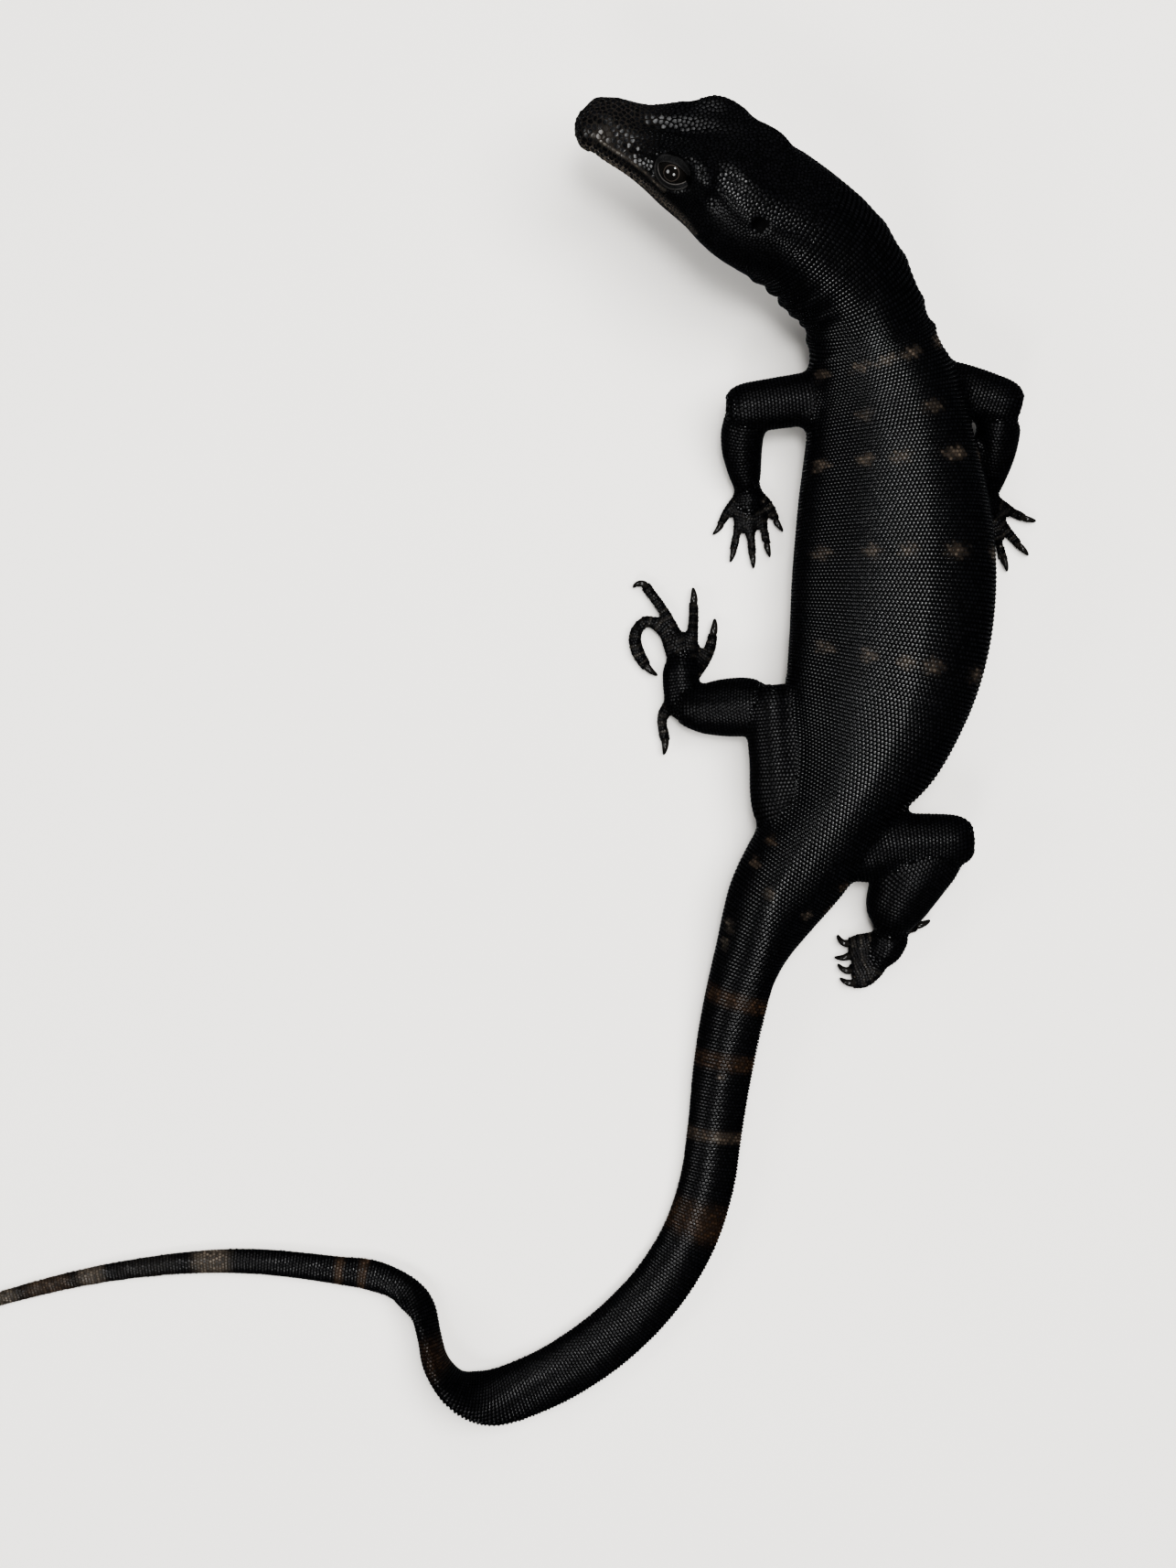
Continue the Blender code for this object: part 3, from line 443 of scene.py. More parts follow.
# Slanting folds on both sides of the neck: run, half width, slant, height, angle, spread of the angle. A
# slant of 1 moves the fold along the neck by this much for each radian.
FOLD_SLANT = 0.004
SIDE_FOLDS = (
    (0.0456, 0.0013, -0.5, 0.00070, -18, 0.60),
    (0.0493, 0.0015, -0.5, 0.00110, -14, 0.62),
    (0.0537, 0.0013, -0.5, 0.00090, -10, 0.60),
    (0.0583, 0.0010, -0.6, 0.00055, 2, 0.45),
    (0.0625, 0.0010, -0.5, 0.00055, 8, 0.50),
    (0.0675, 0.0010, -0.2, 0.00045, 0, 0.45),
)


def neck_swell(run, angle):
    """Slanting folds on both sides of the neck: each is a ridge whose run shifts with the angle."""
    swell = 0.0
    for place, width, slant, height, around, spread in SIDE_FOLDS:
        for mirror in (1, -1):
            middle = math.radians(around if mirror > 0 else 180 - around)
            apart = ((angle - middle + math.pi) % (2 * math.pi) - math.pi) * mirror
            line = place + slant * FOLD_SLANT * apart
            swell = swell + height * np.exp(-(((run - line) / width) ** 2) - (apart / spread) ** 2)
    return swell


# How far the ridge of the back lies to the animal's right of the middle, by station.
RIDGE_SHIFT = (
    ("nape", 0.0),
    ("lower_neck", 0.0010),
    ("shoulders", 0.0026),
    ("chest", 0.0038),
    ("belly", 0.0046),
    ("loins", 0.0044),
    ("pelvis", 0.0018),
    ("tail_root", 0.0),
)


def ridge_shift(run, sine):
    """Shift of the upper outline towards the right: all of it on the ridge, none at the widest place."""
    runs = [RUN_AT[name] for name, _ in RIDGE_SHIFT]
    shifts = [shift for _, shift in RIDGE_SHIFT]
    return np.interp(run, runs, shifts) * np.clip(sine, 0.0, 1.0) ** 2


RIDGE_PEAK = 0.14
RIDGE_TURN = 0.35


def ridge_swell(run, angle):
    """Low roof-shaped ridge along the back: it falls off evenly to both sides."""
    apart = np.abs((angle - math.pi / 2 + math.pi) % (2 * math.pi) - math.pi)
    return RIDGE_PEAK * ridge_shift(run, 1.0) * np.exp(-apart / RIDGE_TURN)


def body_surface(run, angle, grown=0.0, least=0.0):
    """Point of the body at a run and angle: a superellipse about the axis, grown by the soft forms."""
    run, angle = np.broadcast_arrays(np.asarray(run, float), np.asarray(angle, float))
    shape = run.shape
    run = run.ravel()
    angle = angle.ravel()
    centres, side, up, sizes = body_frame(run)
    sizes = np.maximum(sizes, least)
    power = 2.0 / sizes[:, 3]
    cosine = np.cos(angle)
    sine = np.sin(angle)
    across = np.sign(cosine) * np.abs(cosine) ** power * sizes[:, 0]
    tall = np.where(sine >= 0, sizes[:, 1], sizes[:, 2])
    along_up = np.sign(sine) * np.abs(sine) ** power * tall
    reach = np.hypot(across, along_up)
    forms = fold_swell(run, angle) + keel_swell(run, angle) + head_swell(run, angle) + neck_swell(run, angle)
    forms = forms + muscle_swell(run, angle) + ridge_swell(run, angle)
    swell = (reach + forms + grown) / np.maximum(reach, 1e-6)
    leftward = across * swell - ridge_shift(run, sine)
    points = centres + side * leftward[:, None] + up * (along_up * swell)[:, None]
    return points.reshape(shape + (3,))


print("half width at the belly:", round(AXIS_SIZE[:, 0].max() * 1000, 1), "mm")

# %% [markdown]
# ## Limbs as tubes
# A limb is three overlapping round-ended tubes: upper, lower and foot, with five toes that grow out of
# the foot. Sampled finely, the same tubes also tell how far any point is from a limb, which the skin and
# the scales need wherever a limb leaves the body.

# %% Tubes along a path
def headings(points, run):
    """Direction of a smooth path at each run along it."""
    knots = run_of(points)
    ahead = smooth_through(knots, points, run + DIRECTION_STEP)
    return unit(ahead - smooth_through(knots, points, run - DIRECTION_STEP))


def tube_profile(points, radii, run, round_ends=True):
    """Centre, heading and radius of a tube at each run: a round end follows a circle."""
    knots = run_of(points)
    centres = smooth_through(knots, points, run)
    radius = smooth_through(knots, np.asarray(radii, float)[:, None], run)[:, 0]
    if round_ends:
        depth = np.clip(np.minimum(run, knots[-1] - run) / radius, 0.0, 1.0)
        radius = radius * np.maximum(np.sqrt(1 - (1 - depth) ** 2), END_ROUNDNESS)
    return centres, headings(points, run), radius


def tube_surface(tube, run, angle, grown=0.0):
    """Point of a tube at a run and angle: circle about the path, flattened from above by its share."""
    run, angle = np.broadcast_arrays(np.asarray(run, float), np.asarray(angle, float))
    shape = run.shape
    centres, heading, radius = tube_profile(tube["points"], tube["radii"], run.ravel(), tube["round"])
    side, up = frames_along(heading, np.zeros(len(heading)))
    reach = (radius + grown)[:, None]
    cosine = np.cos(angle.ravel())[:, None]
    sine = np.sin(angle.ravel())[:, None] * tube["flatten"]
    return (centres + (side * cosine + up * sine) * reach).reshape(shape + (3,))


def toe_tube(kind, toe):
    """A toe led back a little way into the foot, swollen at its joints."""
    plan = np.asarray(toe, float)
    share = run_of(plan) / run_of(plan)[-1]
    points = np.column_stack([plan, np.interp(share, (0.0, 0.5, 1.0), TOE_HEIGHTS[kind])])
    points = np.vstack([points[0] + unit(points[0] - points[1]) * TOE_ROOT, points])
    share = run_of(points) / run_of(points)[-1]
    swell = 1.0 + TOE_SWELL * np.sin(share * math.pi * 3)
    radii = TOE_RADIUS[kind] * swell * np.interp(share, (0.0, 1.0), TOE_TAPER)
    return {"points": points, "radii": radii, "flatten": 1.0, "round": False}


END_ROUNDNESS = 0.30
FOOT_FLATTEN = 0.9
TUBES = {}
for limb, parts in LIMBS.items():
    for part, path in parts.items():
        path = np.array(path)
        flatten = FOOT_FLATTEN if part == "foot" else 1.0
        tube = {"points": path[:, :3], "radii": path[:, 3], "flatten": flatten, "round": True}
        TUBES[limb + "_" + part] = tube
    for number, toe in enumerate(TOES[limb], 1):
        TUBES[limb + "_toe_" + str(number)] = toe_tube(limb.split("_")[0], toe)
print("limb and toe tubes:", len(TUBES))

# %% How far points are from the limbs and the body
TUBE_SAMPLE = 0.0003
tube_centres = []
tube_radii = []
tube_owner = []
for number, tube in enumerate(TUBES.values()):
    length = run_of(tube["points"])[-1]
    run = np.linspace(0.0, length, int(length / TUBE_SAMPLE) + 2)
    centres, heading, radius = tube_profile(tube["points"], tube["radii"], run, tube["round"])
    tube_centres.append(centres)
    tube_radii.append(radius)
    tube_owner.append(np.full(len(run), number))
TUBE_CENTRE = np.vstack(tube_centres)
TUBE_RADIUS = np.concatenate(tube_radii)
TUBE_OWNER = np.concatenate(tube_owner)


def height_over_limbs(points, but_not=-1):
    """Distance from each point to the nearest tube's wall, and that tube's number; below zero is inside."""
    kept = TUBE_OWNER != but_not
    centres = TUBE_CENTRE[kept]
    radii = TUBE_RADIUS[kept]
    weight = dot(centres, centres) - radii**2
    height = np.empty(len(points))
    owner = np.empty(len(points), int)
    for start in range(0, len(points), COMPARED_AT_ONCE):
        block = points[start : start + COMPARED_AT_ONCE]
        near = np.argmin(weight[None, :] - 2 * block @ centres.T, axis=1)
        apart = np.linalg.norm(block - centres[near], axis=1)
        height[start : start + len(block)] = apart - radii[near]
        owner[start : start + len(block)] = TUBE_OWNER[kept][near]
    return height, owner


def height_over_body(points):
    """Distance from each point to the body's outline along its spoke, with the run and angle there."""
    run, left, up, near = body_place(points)
    sizes = AXIS_SIZE[near]
    tall = np.where(up >= 0, sizes[:, 1], sizes[:, 2])
    power = sizes[:, 3] / 2
    along_up = np.sign(up) * np.abs(up / tall) ** power
    left = left + ridge_shift(run, along_up)
    across = np.sign(left) * np.abs(left / sizes[:, 0]) ** power
    angle = np.arctan2(along_up, across)
    surface = body_surface(run, angle)
    offset = surface - AXIS_CENTRE[near]
    level = dot(offset, AXIS_SIDE[near]) + ridge_shift(run, np.sin(angle))
    return np.hypot(left, up) - np.hypot(level, dot(offset, AXIS_UP[near])), run, angle


# %% [markdown]
# ## One skin over everything
# A museum model is cast in one piece, so the skin here has no seam either. The tubes are laid into each
# other and melted into one surface on a fine grid of cells, then the joins are smoothed the way skin
# stretches over a shoulder. The tail is finer than a cell near its tip: it is laid in thicker and drawn
# in again afterwards. The skin lies a coat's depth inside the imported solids, since the scales will stand
# on it.

# %% Lay the tubes together
COAT_DEPTH = 0.00012
CELL = 0.00066
LEAST_TAIL = 0.0009
BODY_RING_STEP = 0.0005
BODY_SIDES = 96
TUBE_RINGS = 60
TUBE_SIDES = 32


def face_outward(mesh):
    """Turns all faces of closed shapes outward."""
    work = bmesh.new()
    work.from_mesh(mesh)
    bmesh.ops.recalc_face_normals(work, faces=work.faces)
    work.to_mesh(mesh)
    work.free()


def grid_faces(rings, sides, loop_rings=False):
    """Quads of a closed tube: each corner joins the next one round and the same one on the next ring."""
    count = rings if loop_rings else rings - 1
    ring, corner = np.meshgrid(np.arange(count), np.arange(sides), indexing="ij")
    after = (corner + 1) % sides
    following = (ring + 1) % rings
    near = ring * sides
    far = following * sides
    return np.stack((near + corner, near + after, far + after, far + corner), axis=-1).reshape(-1, 4)


def tube_pieces(grids):
    """Points and faces of several capped tubes, as one list each."""
    points = []
    faces = []
    for grid in grids:
        first = sum(len(part) for part in points)
        rings, sides, _ = grid.shape
        faces += (grid_faces(rings, sides) + first).tolist()
        faces.append(list(range(first, first + sides)))
        faces.append(list(range(first + (rings - 1) * sides, first + rings * sides)))
        points.append(grid.reshape(-1, 3))
    return np.vstack(points), faces


def add_piece(name, points, faces):
    """New object at the origin from points and faces, smooth, with its faces outward."""
    mesh = bpy.data.meshes.new(name)
    mesh.from_pydata(points.tolist(), [], faces)
    face_outward(mesh)
    mesh.shade_smooth()
    piece = bpy.data.objects.new(name, mesh)
    bpy.context.scene.collection.objects.link(piece)
    return piece


def body_grid():
    """Rings of the whole body, thickened where the tail is finer than the cells."""
    run = np.arange(0.0, BODY_LENGTH, BODY_RING_STEP)
    angle = np.linspace(0.0, 2 * math.pi, BODY_SIDES, endpoint=False)
    least = np.array([LEAST_TAIL, LEAST_TAIL, LEAST_TAIL, 0.0])
    return body_surface(run[:, None], angle[None, :], -COAT_DEPTH, least)


def limb_grid(tube):
    """Rings of one tube, closer together towards its round ends."""
    length = run_of(tube["points"])[-1]
    share = (1 - np.cos(np.linspace(0.0, math.pi, TUBE_RINGS))) / 2
    angle = np.linspace(0.0, 2 * math.pi, TUBE_SIDES, endpoint=False)
    return tube_surface(tube, (share * length)[:, None], angle[None, :], -COAT_DEPTH)


def melted(piece, cell):
    """One closed surface round all the tubes, on a grid of cells."""
    melt = piece.modifiers.new("melt", "REMESH")
    melt.mode = "VOXEL"
    melt.voxel_size = cell
    graph = bpy.context.evaluated_depsgraph_get()
    return bpy.data.meshes.new_from_object(piece.evaluated_get(graph))


laid = add_piece("laid", *tube_pieces([body_grid()] + [limb_grid(tube) for tube in TUBES.values()]))
skin_mesh = melted(laid, CELL)
bpy.data.objects.remove(laid)
print("skin points:", len(skin_mesh.vertices), "faces:", len(skin_mesh.polygons))

# %% Finer cells on the head and neck
FINE_HEAD_END = 0.068


def mesh_points(mesh):
    """Places of a mesh's points, one row each."""
    points = np.empty(len(mesh.vertices) * 3)
    mesh.vertices.foreach_get("co", points)
    return points.reshape(-1, 3)


def mesh_edges(mesh):
    """Numbers of the two points of each edge."""
    edges = np.empty(len(mesh.edges) * 2, int)
    mesh.edges.foreach_get("vertices", edges)
    return edges.reshape(-1, 2)


def split_finer(mesh, chosen):
    """Splits every edge between chosen points in two."""
    work = bmesh.new()
    work.from_mesh(mesh)
    edges = [edge for edge in work.edges if chosen[edge.verts[0].index] and chosen[edge.verts[1].index]]
    bmesh.ops.subdivide_edges(work, edges=edges, cuts=1, use_grid_fill=True)
    work.to_mesh(mesh)
    work.free()


on_head = height_over_body(mesh_points(skin_mesh))[1] < FINE_HEAD_END
split_finer(skin_mesh, on_head)
print("skin points with the finer head:", len(skin_mesh.vertices))

# %% Smooth the joins
JOIN_REACH = 0.0016
JOIN_ROUNDS = 14
ALL_ROUNDS = 4
ALL_WEIGHT = 0.5
SNAP_REACH = 0.0022
SNAP_FARTHEST = 0.0012
SNAPPED = 0.9
LAST_ROUNDS = 2
LAST_WEIGHT = 0.35


def smoothed(points, edges, weight, rounds):
    """Each round moves a point towards the mean of its neighbours, by its weight."""
    count = len(points)
    links = np.bincount(edges.ravel(), minlength=count)
    for _ in range(rounds):
        total = np.zeros_like(points)
        for axis in range(3):
            total[:, axis] = np.bincount(edges[:, 0], points[edges[:, 1], axis], count)
            total[:, axis] += np.bincount(edges[:, 1], points[edges[:, 0], axis], count)
        points = points + (total / links[:, None] - points) * weight[:, None]
    return points


points = mesh_points(skin_mesh)
edges = mesh_edges(skin_mesh)
over_body, run, angle = height_over_body(points)
over_limbs, owner = height_over_limbs(points)
near_join = np.exp(-((over_body / JOIN_REACH) ** 2) - (over_limbs / JOIN_REACH) ** 2)
points = smoothed(points, edges, np.full(len(points), ALL_WEIGHT), ALL_ROUNDS)
points = smoothed(points, edges, near_join, JOIN_ROUNDS)

# Smoothing thins toes, so points that have sunk inside a tube's wall go back out onto it.
over_limbs, nearest = height_over_limbs(points)[0], nearest_rows(points, TUBE_CENTRE)
outward = unit(points - TUBE_CENTRE[nearest])
sunk = np.where(height_over_body(points)[0] > -JOIN_REACH / 2, np.minimum(over_limbs + COAT_DEPTH, 0.0), 0.0)
points -= outward * sunk[:, None]
print("points moved back out onto limbs:", int((sunk < 0).sum()))

# Away from the limbs the points go exactly onto the body's own outline.
over_body, run, angle = height_over_body(points)
over_limbs, owner = height_over_limbs(points)
exact = body_surface(run, angle, -COAT_DEPTH)
apart = np.linalg.norm(exact - points, axis=1)
snap = np.clip(over_limbs / SNAP_REACH, 0.0, 1.0) ** 2 * (apart < SNAP_FARTHEST)
points = points + (exact - points) * snap[:, None]
points = smoothed(points, edges, np.where(snap > SNAPPED, 0.0, LAST_WEIGHT), LAST_ROUNDS)
print("points moved onto the outline:", int((snap > SNAPPED).sum()))

# %% Draw the tail in again
LEAST_DRAWN = 0.0002

run, left, up, near = body_place(points)
true_size = np.maximum(AXIS_SIZE[near, :3] - COAT_DEPTH, LEAST_DRAWN)
laid_size = np.maximum(AXIS_SIZE[near, :3], LEAST_TAIL) - COAT_DEPTH
shrink = true_size / laid_size
thin = (over_limbs > JOIN_REACH) & (AXIS_SIZE[near, :3].min(axis=1) < LEAST_TAIL)
tall_shrink = np.where(up >= 0, shrink[:, 1], shrink[:, 2])
drawn = AXIS_CENTRE[near] + AXIS_SIDE[near] * (left * shrink[:, 0])[:, None]
drawn += AXIS_UP[near] * (up * tall_shrink)[:, None]
along = unit(np.gradient(AXIS_CENTRE, axis=0))[near]
drawn += along * dot(points - AXIS_CENTRE[near], along)[:, None]
points[thin] = drawn[thin]
print("tail points drawn in:", int(thin.sum()))

# %% [markdown]
# ## The head's openings
# The eye needs an orbit to sit in, the nostril is an oval pit on the side of the snout, the ear is a
# shallow cup behind the cheek, and the mouth is a fine groove from the tip of the snout to the corner of
# the jaw. All are pressed into the same skin, which keeps it in one piece.

# %% Press in orbits, nostrils, ears and the mouth
EYE_LOOK = (-0.15, 0.90, 0.40)
EYE_BALL_RADIUS = 0.00275
LID_REACH_ALONG = 0.0034
LID_REACH_UP = 0.0031
ORBIT_DEPTH = 0.0007
# Place, reach and depth of each pit.
PITS = ((NOSTRIL_PLACE, 0.00085, 0.0007), (EAR_PLACE, 0.0019, 0.0009))
GROOVE_WIDTH = 0.00022
GROOVE_DEPTH = 0.00018


def head_axes(run):
    """Centre, back, left and up directions of the head at a run."""
    centre, side, up, _ = body_frame(run)
    ahead = smooth_through(BODY_RUN, STATIONS[:, :3], run + DIRECTION_STEP)
    behind = smooth_through(BODY_RUN, STATIONS[:, :3], run - DIRECTION_STEP)
    return centre[0], unit(ahead - behind)[0], side[0], up[0]


def head_place(run, left, up):
    """World place of a point of the head."""
    centre, _, left_way, up_way = head_axes(run)
    return centre + left_way * left + up_way * up


def eye_frame(mirror):
    """Centre of the eyeball, then the ways it looks, back along the head and up across the opening."""
    run, left, height = EYE_PLACE
    socket = head_place(run, left * mirror, height)
    packed_look = unit(head_place(run + GAZE[0], (left + GAZE[1]) * mirror, height + GAZE[2]) - socket)
    _, back_way, left_way, up_way = head_axes(run)
    look = unit(back_way * EYE_LOOK[0] + left_way * EYE_LOOK[1] * mirror + up_way * EYE_LOOK[2])
    centre = socket + packed_look * EYE_RADIUS - look * EYE_BALL_RADIUS
    back = unit(back_way - look * (back_way @ look))
    up = unit(up_way - look * (up_way @ look) - back * (up_way @ back))
    return centre, look, back, up


def pressed_in(points, centre, inward, reach, depth):
    """Moves points within a reach of a place inward: full depth in the middle, none at the rim."""
    share = np.clip(np.linalg.norm((points - centre) / reach, axis=1), 0.0, 1.0)
    return points + inward * (depth * (1 - share**2) ** 2)[:, None]


for mirror in (1, -1):
    centre, look, back, up = eye_frame(mirror)
    offset = points - centre
    spread = np.hypot(offset @ back / LID_REACH_ALONG, offset @ up / LID_REACH_UP)
    facing = (offset @ look > 0) & (spread < 1)
    points[facing] -= look * (ORBIT_DEPTH * (1 - spread[facing] ** 4))[:, None]
    for place, reach, depth in PITS:
        spot = head_place(place[0], place[1] * mirror, place[2])
        middle = head_axes(place[0])[0]
        points = pressed_in(points, spot, unit(middle - spot), reach, depth)

run, left, up, near = body_place(points)
line = at_run(MOUTH_LINE, run)
groove = GROOVE_DEPTH * np.exp(-(((up - line) / GROOVE_WIDTH) ** 2)) * (run < MOUTH_LINE[-1][0])
inward = unit(AXIS_CENTRE[near] - points)
points += inward * groove[:, None]
points[:, 2] = np.maximum(points[:, 2], 0.0)

skin_mesh.vertices.foreach_set("co", points.ravel())
face_outward(skin_mesh)
skin_mesh.shade_smooth()
skin = bpy.data.objects.new("skin", skin_mesh)
skin_mesh.name = "skin"
bpy.context.scene.collection.objects.link(skin)
SKIN_POINTS = points
normals = np.empty(len(points) * 3)
skin_mesh.vertices.foreach_get("normal", normals)
SKIN_NORMALS = unit(normals.reshape(-1, 3))
flesh = [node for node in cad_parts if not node.startswith("eye") and "claw" not in node]
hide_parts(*flesh)
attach(skin, "root")
print("skin triangles:", sum(len(face.vertices) - 2 for face in skin_mesh.polygons))

# %% [markdown]
# ## The markings
# A young water monitor is black above with cross rows of small pale spots, and its tail is ringed in grey
# and brown. The pattern belongs to the body, not to one piece of the model, so one set of functions of
# run and angle colours the skin and each scale alike.

# %% Spots, rings, pale seams and the painted canthal highlight
SPOT_ROWS = (
    (0.0645, (20, 62, 88, 112, 150), 0.07),
    (0.0742, (62, 120), 0.04),
    (0.0820, (24, 61, 91, 131, 162), 0.08),
    (0.0973, (-8, 28, 65, 94, 127, 158), 0.06),
    (0.1140, (-6, 34, 70, 101, 119, 152), 0.06),
)
SPOT_LONG = 0.0010
SPOT_WIDE = 0.0016
SPOT_BROWN = 1.3
SPOT_WAVE = 0.35
BASE_LONGER = 1.6
SPOT_WAVE_WAYS = np.array([2900.0, 3700.0, 1300.0])
# Rings round the tail: run, half length, how pale, how brown.
TAIL_RINGS = (
    (0.1750, 0.0014, 0.00, 0.16),
    (0.1857, 0.0014, 0.00, 0.14),
    (0.1983, 0.0010, 0.05, 0.10),
    (0.2127, 0.0030, 0.00, 0.14),
    (0.2720, 0.0030, 0.00, 0.10),
    (0.2915, 0.0007, 0.02, 0.22),
    (0.2955, 0.0007, 0.02, 0.22),
    (0.3170, 0.0030, 0.14, 0.10),
    (0.3275, 0.0055, 0.02, 0.00),
    (0.3372, 0.0022, 0.14, 0.10),
    (0.3448, 0.0042, 0.04, 0.14),
    (0.3520, 0.0022, 0.14, 0.08),
    (0.3650, 0.0030, 0.13, 0.10),
    (0.3780, 0.0028, 0.12, 0.10),
    (0.3890, 0.0024, 0.12, 0.10),
)
# Mottling at the base of the tail, on both sides: run, angle, reach, pale, brown.
BASE_MARKS = (
    (0.1495, 35, 0.0012, 0.04, 0.14),
    (0.1540, 28, 0.0012, 0.05, 0.12),
    (0.1565, 62, 0.0011, 0.06, 0.06),
    (0.1640, 10, 0.0014, 0.08, 0.05),
    (0.1668, 4, 0.0012, 0.08, 0.05),
    (0.1880, 20, 0.0007, 0.12, 0.15),
    (0.1985, 25, 0.0008, 0.25, 0.10),
)
# Pale lines on the head, as run and height over the axis: canthal line, then lips. The canthal line is
# painted pale as a highlight along its ridge; the lips are pale.
CANTHAL_LINE = ((0.0040, 0.0014), (0.0085, 0.0008), (0.0130, 0.0002), (0.0160, -0.0004))
CANTHAL_HIGHLIGHT_WIDTH = 0.00035
CANTHAL_HIGHLIGHT_RUN = (0.0030, 0.0170)
LIP_WIDTH = 0.0013
LIP_LINE = 0.0006
LIP_END = 0.026
LIP_SHARE = 0.5
SNOUT_PALE_END = 0.014
SNOUT_PALE_FADE = 0.006
# How pale the skin between the scales is on the snout, along the canthal line, where the pale is a painted
# highlight, and at the lips.
SNOUT_SEAM = 0.05
CANTHAL_HIGHLIGHT_SEAM = 0.12
LIP_SEAM = 0.30
# How far from a limb the body's marks fade out, and how near a toe's skin is.
MARK_FADE = 0.0008
TOE_NEAR = 0.0006
TOE_RING_STEP = 0.0014
TOE_RING_WIDTH = 0.00022
TOE_RING_PALE = 0.07


def arc_apart(angle, degrees, near):
    """Distance along the outline between two angles."""
    apart = (angle - math.radians(degrees) + math.pi) % (2 * math.pi) - math.pi
    return apart * AXIS_SIZE[near, :2].mean(axis=1)


def marks_at(places, owner, over_limbs):
    """Pale and brown share, 0 to 1, at any places of the animal."""
    run, left, up, near = body_place(places)
    angle = np.arctan2(up, left)
    pale = np.zeros(len(places))
    brown = np.zeros(len(places))
    for row, degrees, strength in SPOT_ROWS:
        for around in degrees:
            wave = SPOT_WAVE * np.sin(places @ SPOT_WAVE_WAYS + around)
            far = np.hypot((run - row) / SPOT_LONG, arc_apart(angle, around, near) / SPOT_WIDE) + wave
            spot = np.exp(-(np.maximum(far, 0.0) ** 4))
            pale = np.maximum(pale, strength * spot)
            brown = np.maximum(brown, SPOT_BROWN * strength * spot)
    for row, reach, share_pale, share_brown in TAIL_RINGS:
        ring = np.exp(-(((run - row) / reach) ** 4))
        pale = np.maximum(pale, share_pale * ring)
        brown = np.maximum(brown, share_brown * ring)
    for row, around, reach, share_pale, share_brown in BASE_MARKS:
        for turned in (around, 180 - around):
            wave = SPOT_WAVE * np.sin(places @ SPOT_WAVE_WAYS + around)
            far = np.hypot((run - row) * BASE_LONGER, arc_apart(angle, turned, near)) / reach + wave
            spot = np.exp(-(np.maximum(far, 0.0) ** 4))
            pale = np.maximum(pale, share_pale * spot)
            brown = np.maximum(brown, share_brown * spot)
    on_body = np.clip(over_limbs / MARK_FADE, 0.0, 1.0)
    pale = pale * on_body
    brown = brown * on_body
    for number, (name, tube) in enumerate(TUBES.items()):
        mine = (owner == number) & (over_limbs < TOE_NEAR)
        if "toe" in name and mine.any():
            knots = run_of(tube["points"])
            samples = TUBE_CENTRE[TUBE_OWNER == number]
            share = nearest_rows(places[mine], samples) / len(samples) * knots[-1]
            ring = np.exp(-(((share % TOE_RING_STEP - TOE_RING_STEP / 2) / TOE_RING_WIDTH) ** 4))
            pale[mine] = np.maximum(pale[mine], TOE_RING_PALE * ring)
    return pale, brown


def line_shares(places, lip_width):
    """Shares of the canthal line's painted highlight and of the lips: bell curves of the height over each
    line, with the run.
    """
    run, left, up, near = body_place(places)
    canthal = np.exp(-(((up - at_run(CANTHAL_LINE, run)) / CANTHAL_HIGHLIGHT_WIDTH) ** 2))
    canthal = canthal * (run < CANTHAL_HIGHLIGHT_RUN[1]) * (run > CANTHAL_HIGHLIGHT_RUN[0])
    lips = np.exp(-(((up - at_run(MOUTH_LINE, run)) / lip_width) ** 4)) * (run < LIP_END)
    return canthal, lips, run


def head_lines(places):
    """Share of the painted highlight along the canthal line and of the pale line where the lips meet."""
    canthal, lips, _ = line_shares(places, LIP_LINE)
    return np.maximum(canthal, LIP_SHARE * lips)


def head_seams(places):
    """How pale the soft skin between the head's scales is: the lips, the painted highlight of the canthal
    line, and the snout.
    """
    canthal, lips, run = line_shares(places, LIP_WIDTH)
    snout = SNOUT_SEAM * np.clip((SNOUT_PALE_END - run) / SNOUT_PALE_FADE, 0.0, 1.0)
    return np.maximum(np.maximum(CANTHAL_HIGHLIGHT_SEAM * canthal, LIP_SEAM * lips), snout)


# %% [markdown]
# ## Where the scales grow
# On the trunk the scales stand in cross rows, each row half a scale out of step with the last. On the
# tail the rows become rings, and limbs and toes have rings of their own. The head is a mosaic without
# rows: larger plates on the snout and over the eyes, small ones on the temples. Rows are laid by
# measuring along the outline; the mosaic is picked at random with a least distance apart, then pushed
# apart evenly, which is how crowding gives real scales their many-sided shapes.

# %% Rows on the body
ROWS_START = 0.0375
ROWS_END = 0.3925
OUTLINE_SIDES = 120
ROW_STEP = (
    (0.040, 0.00074),
    (0.048, 0.00076),
    (0.062, 0.00066),
    (0.085, 0.00059),
    (0.115, 0.00063),
    (0.150, 0.00060),
    (0.200, 0.00054),
    (0.394, 0.00050),
)
SCALE_STEP = (
    (0.040, 0.00064),
    (0.062, 0.00062),
    (0.085, 0.00066),
    (0.120, 0.00066),
    (0.250, 0.00058),
    (0.394, 0.00040),
)
BELLY_GAP = 0.3
ROW_CLEAR = 0.0002


def row_places():
    """Run of each cross row, a step apart."""
    runs = [ROWS_START]
    while runs[-1] < ROWS_END:
        runs.append(runs[-1] + at_run(ROW_STEP, runs[-1]))
    return np.array(runs)


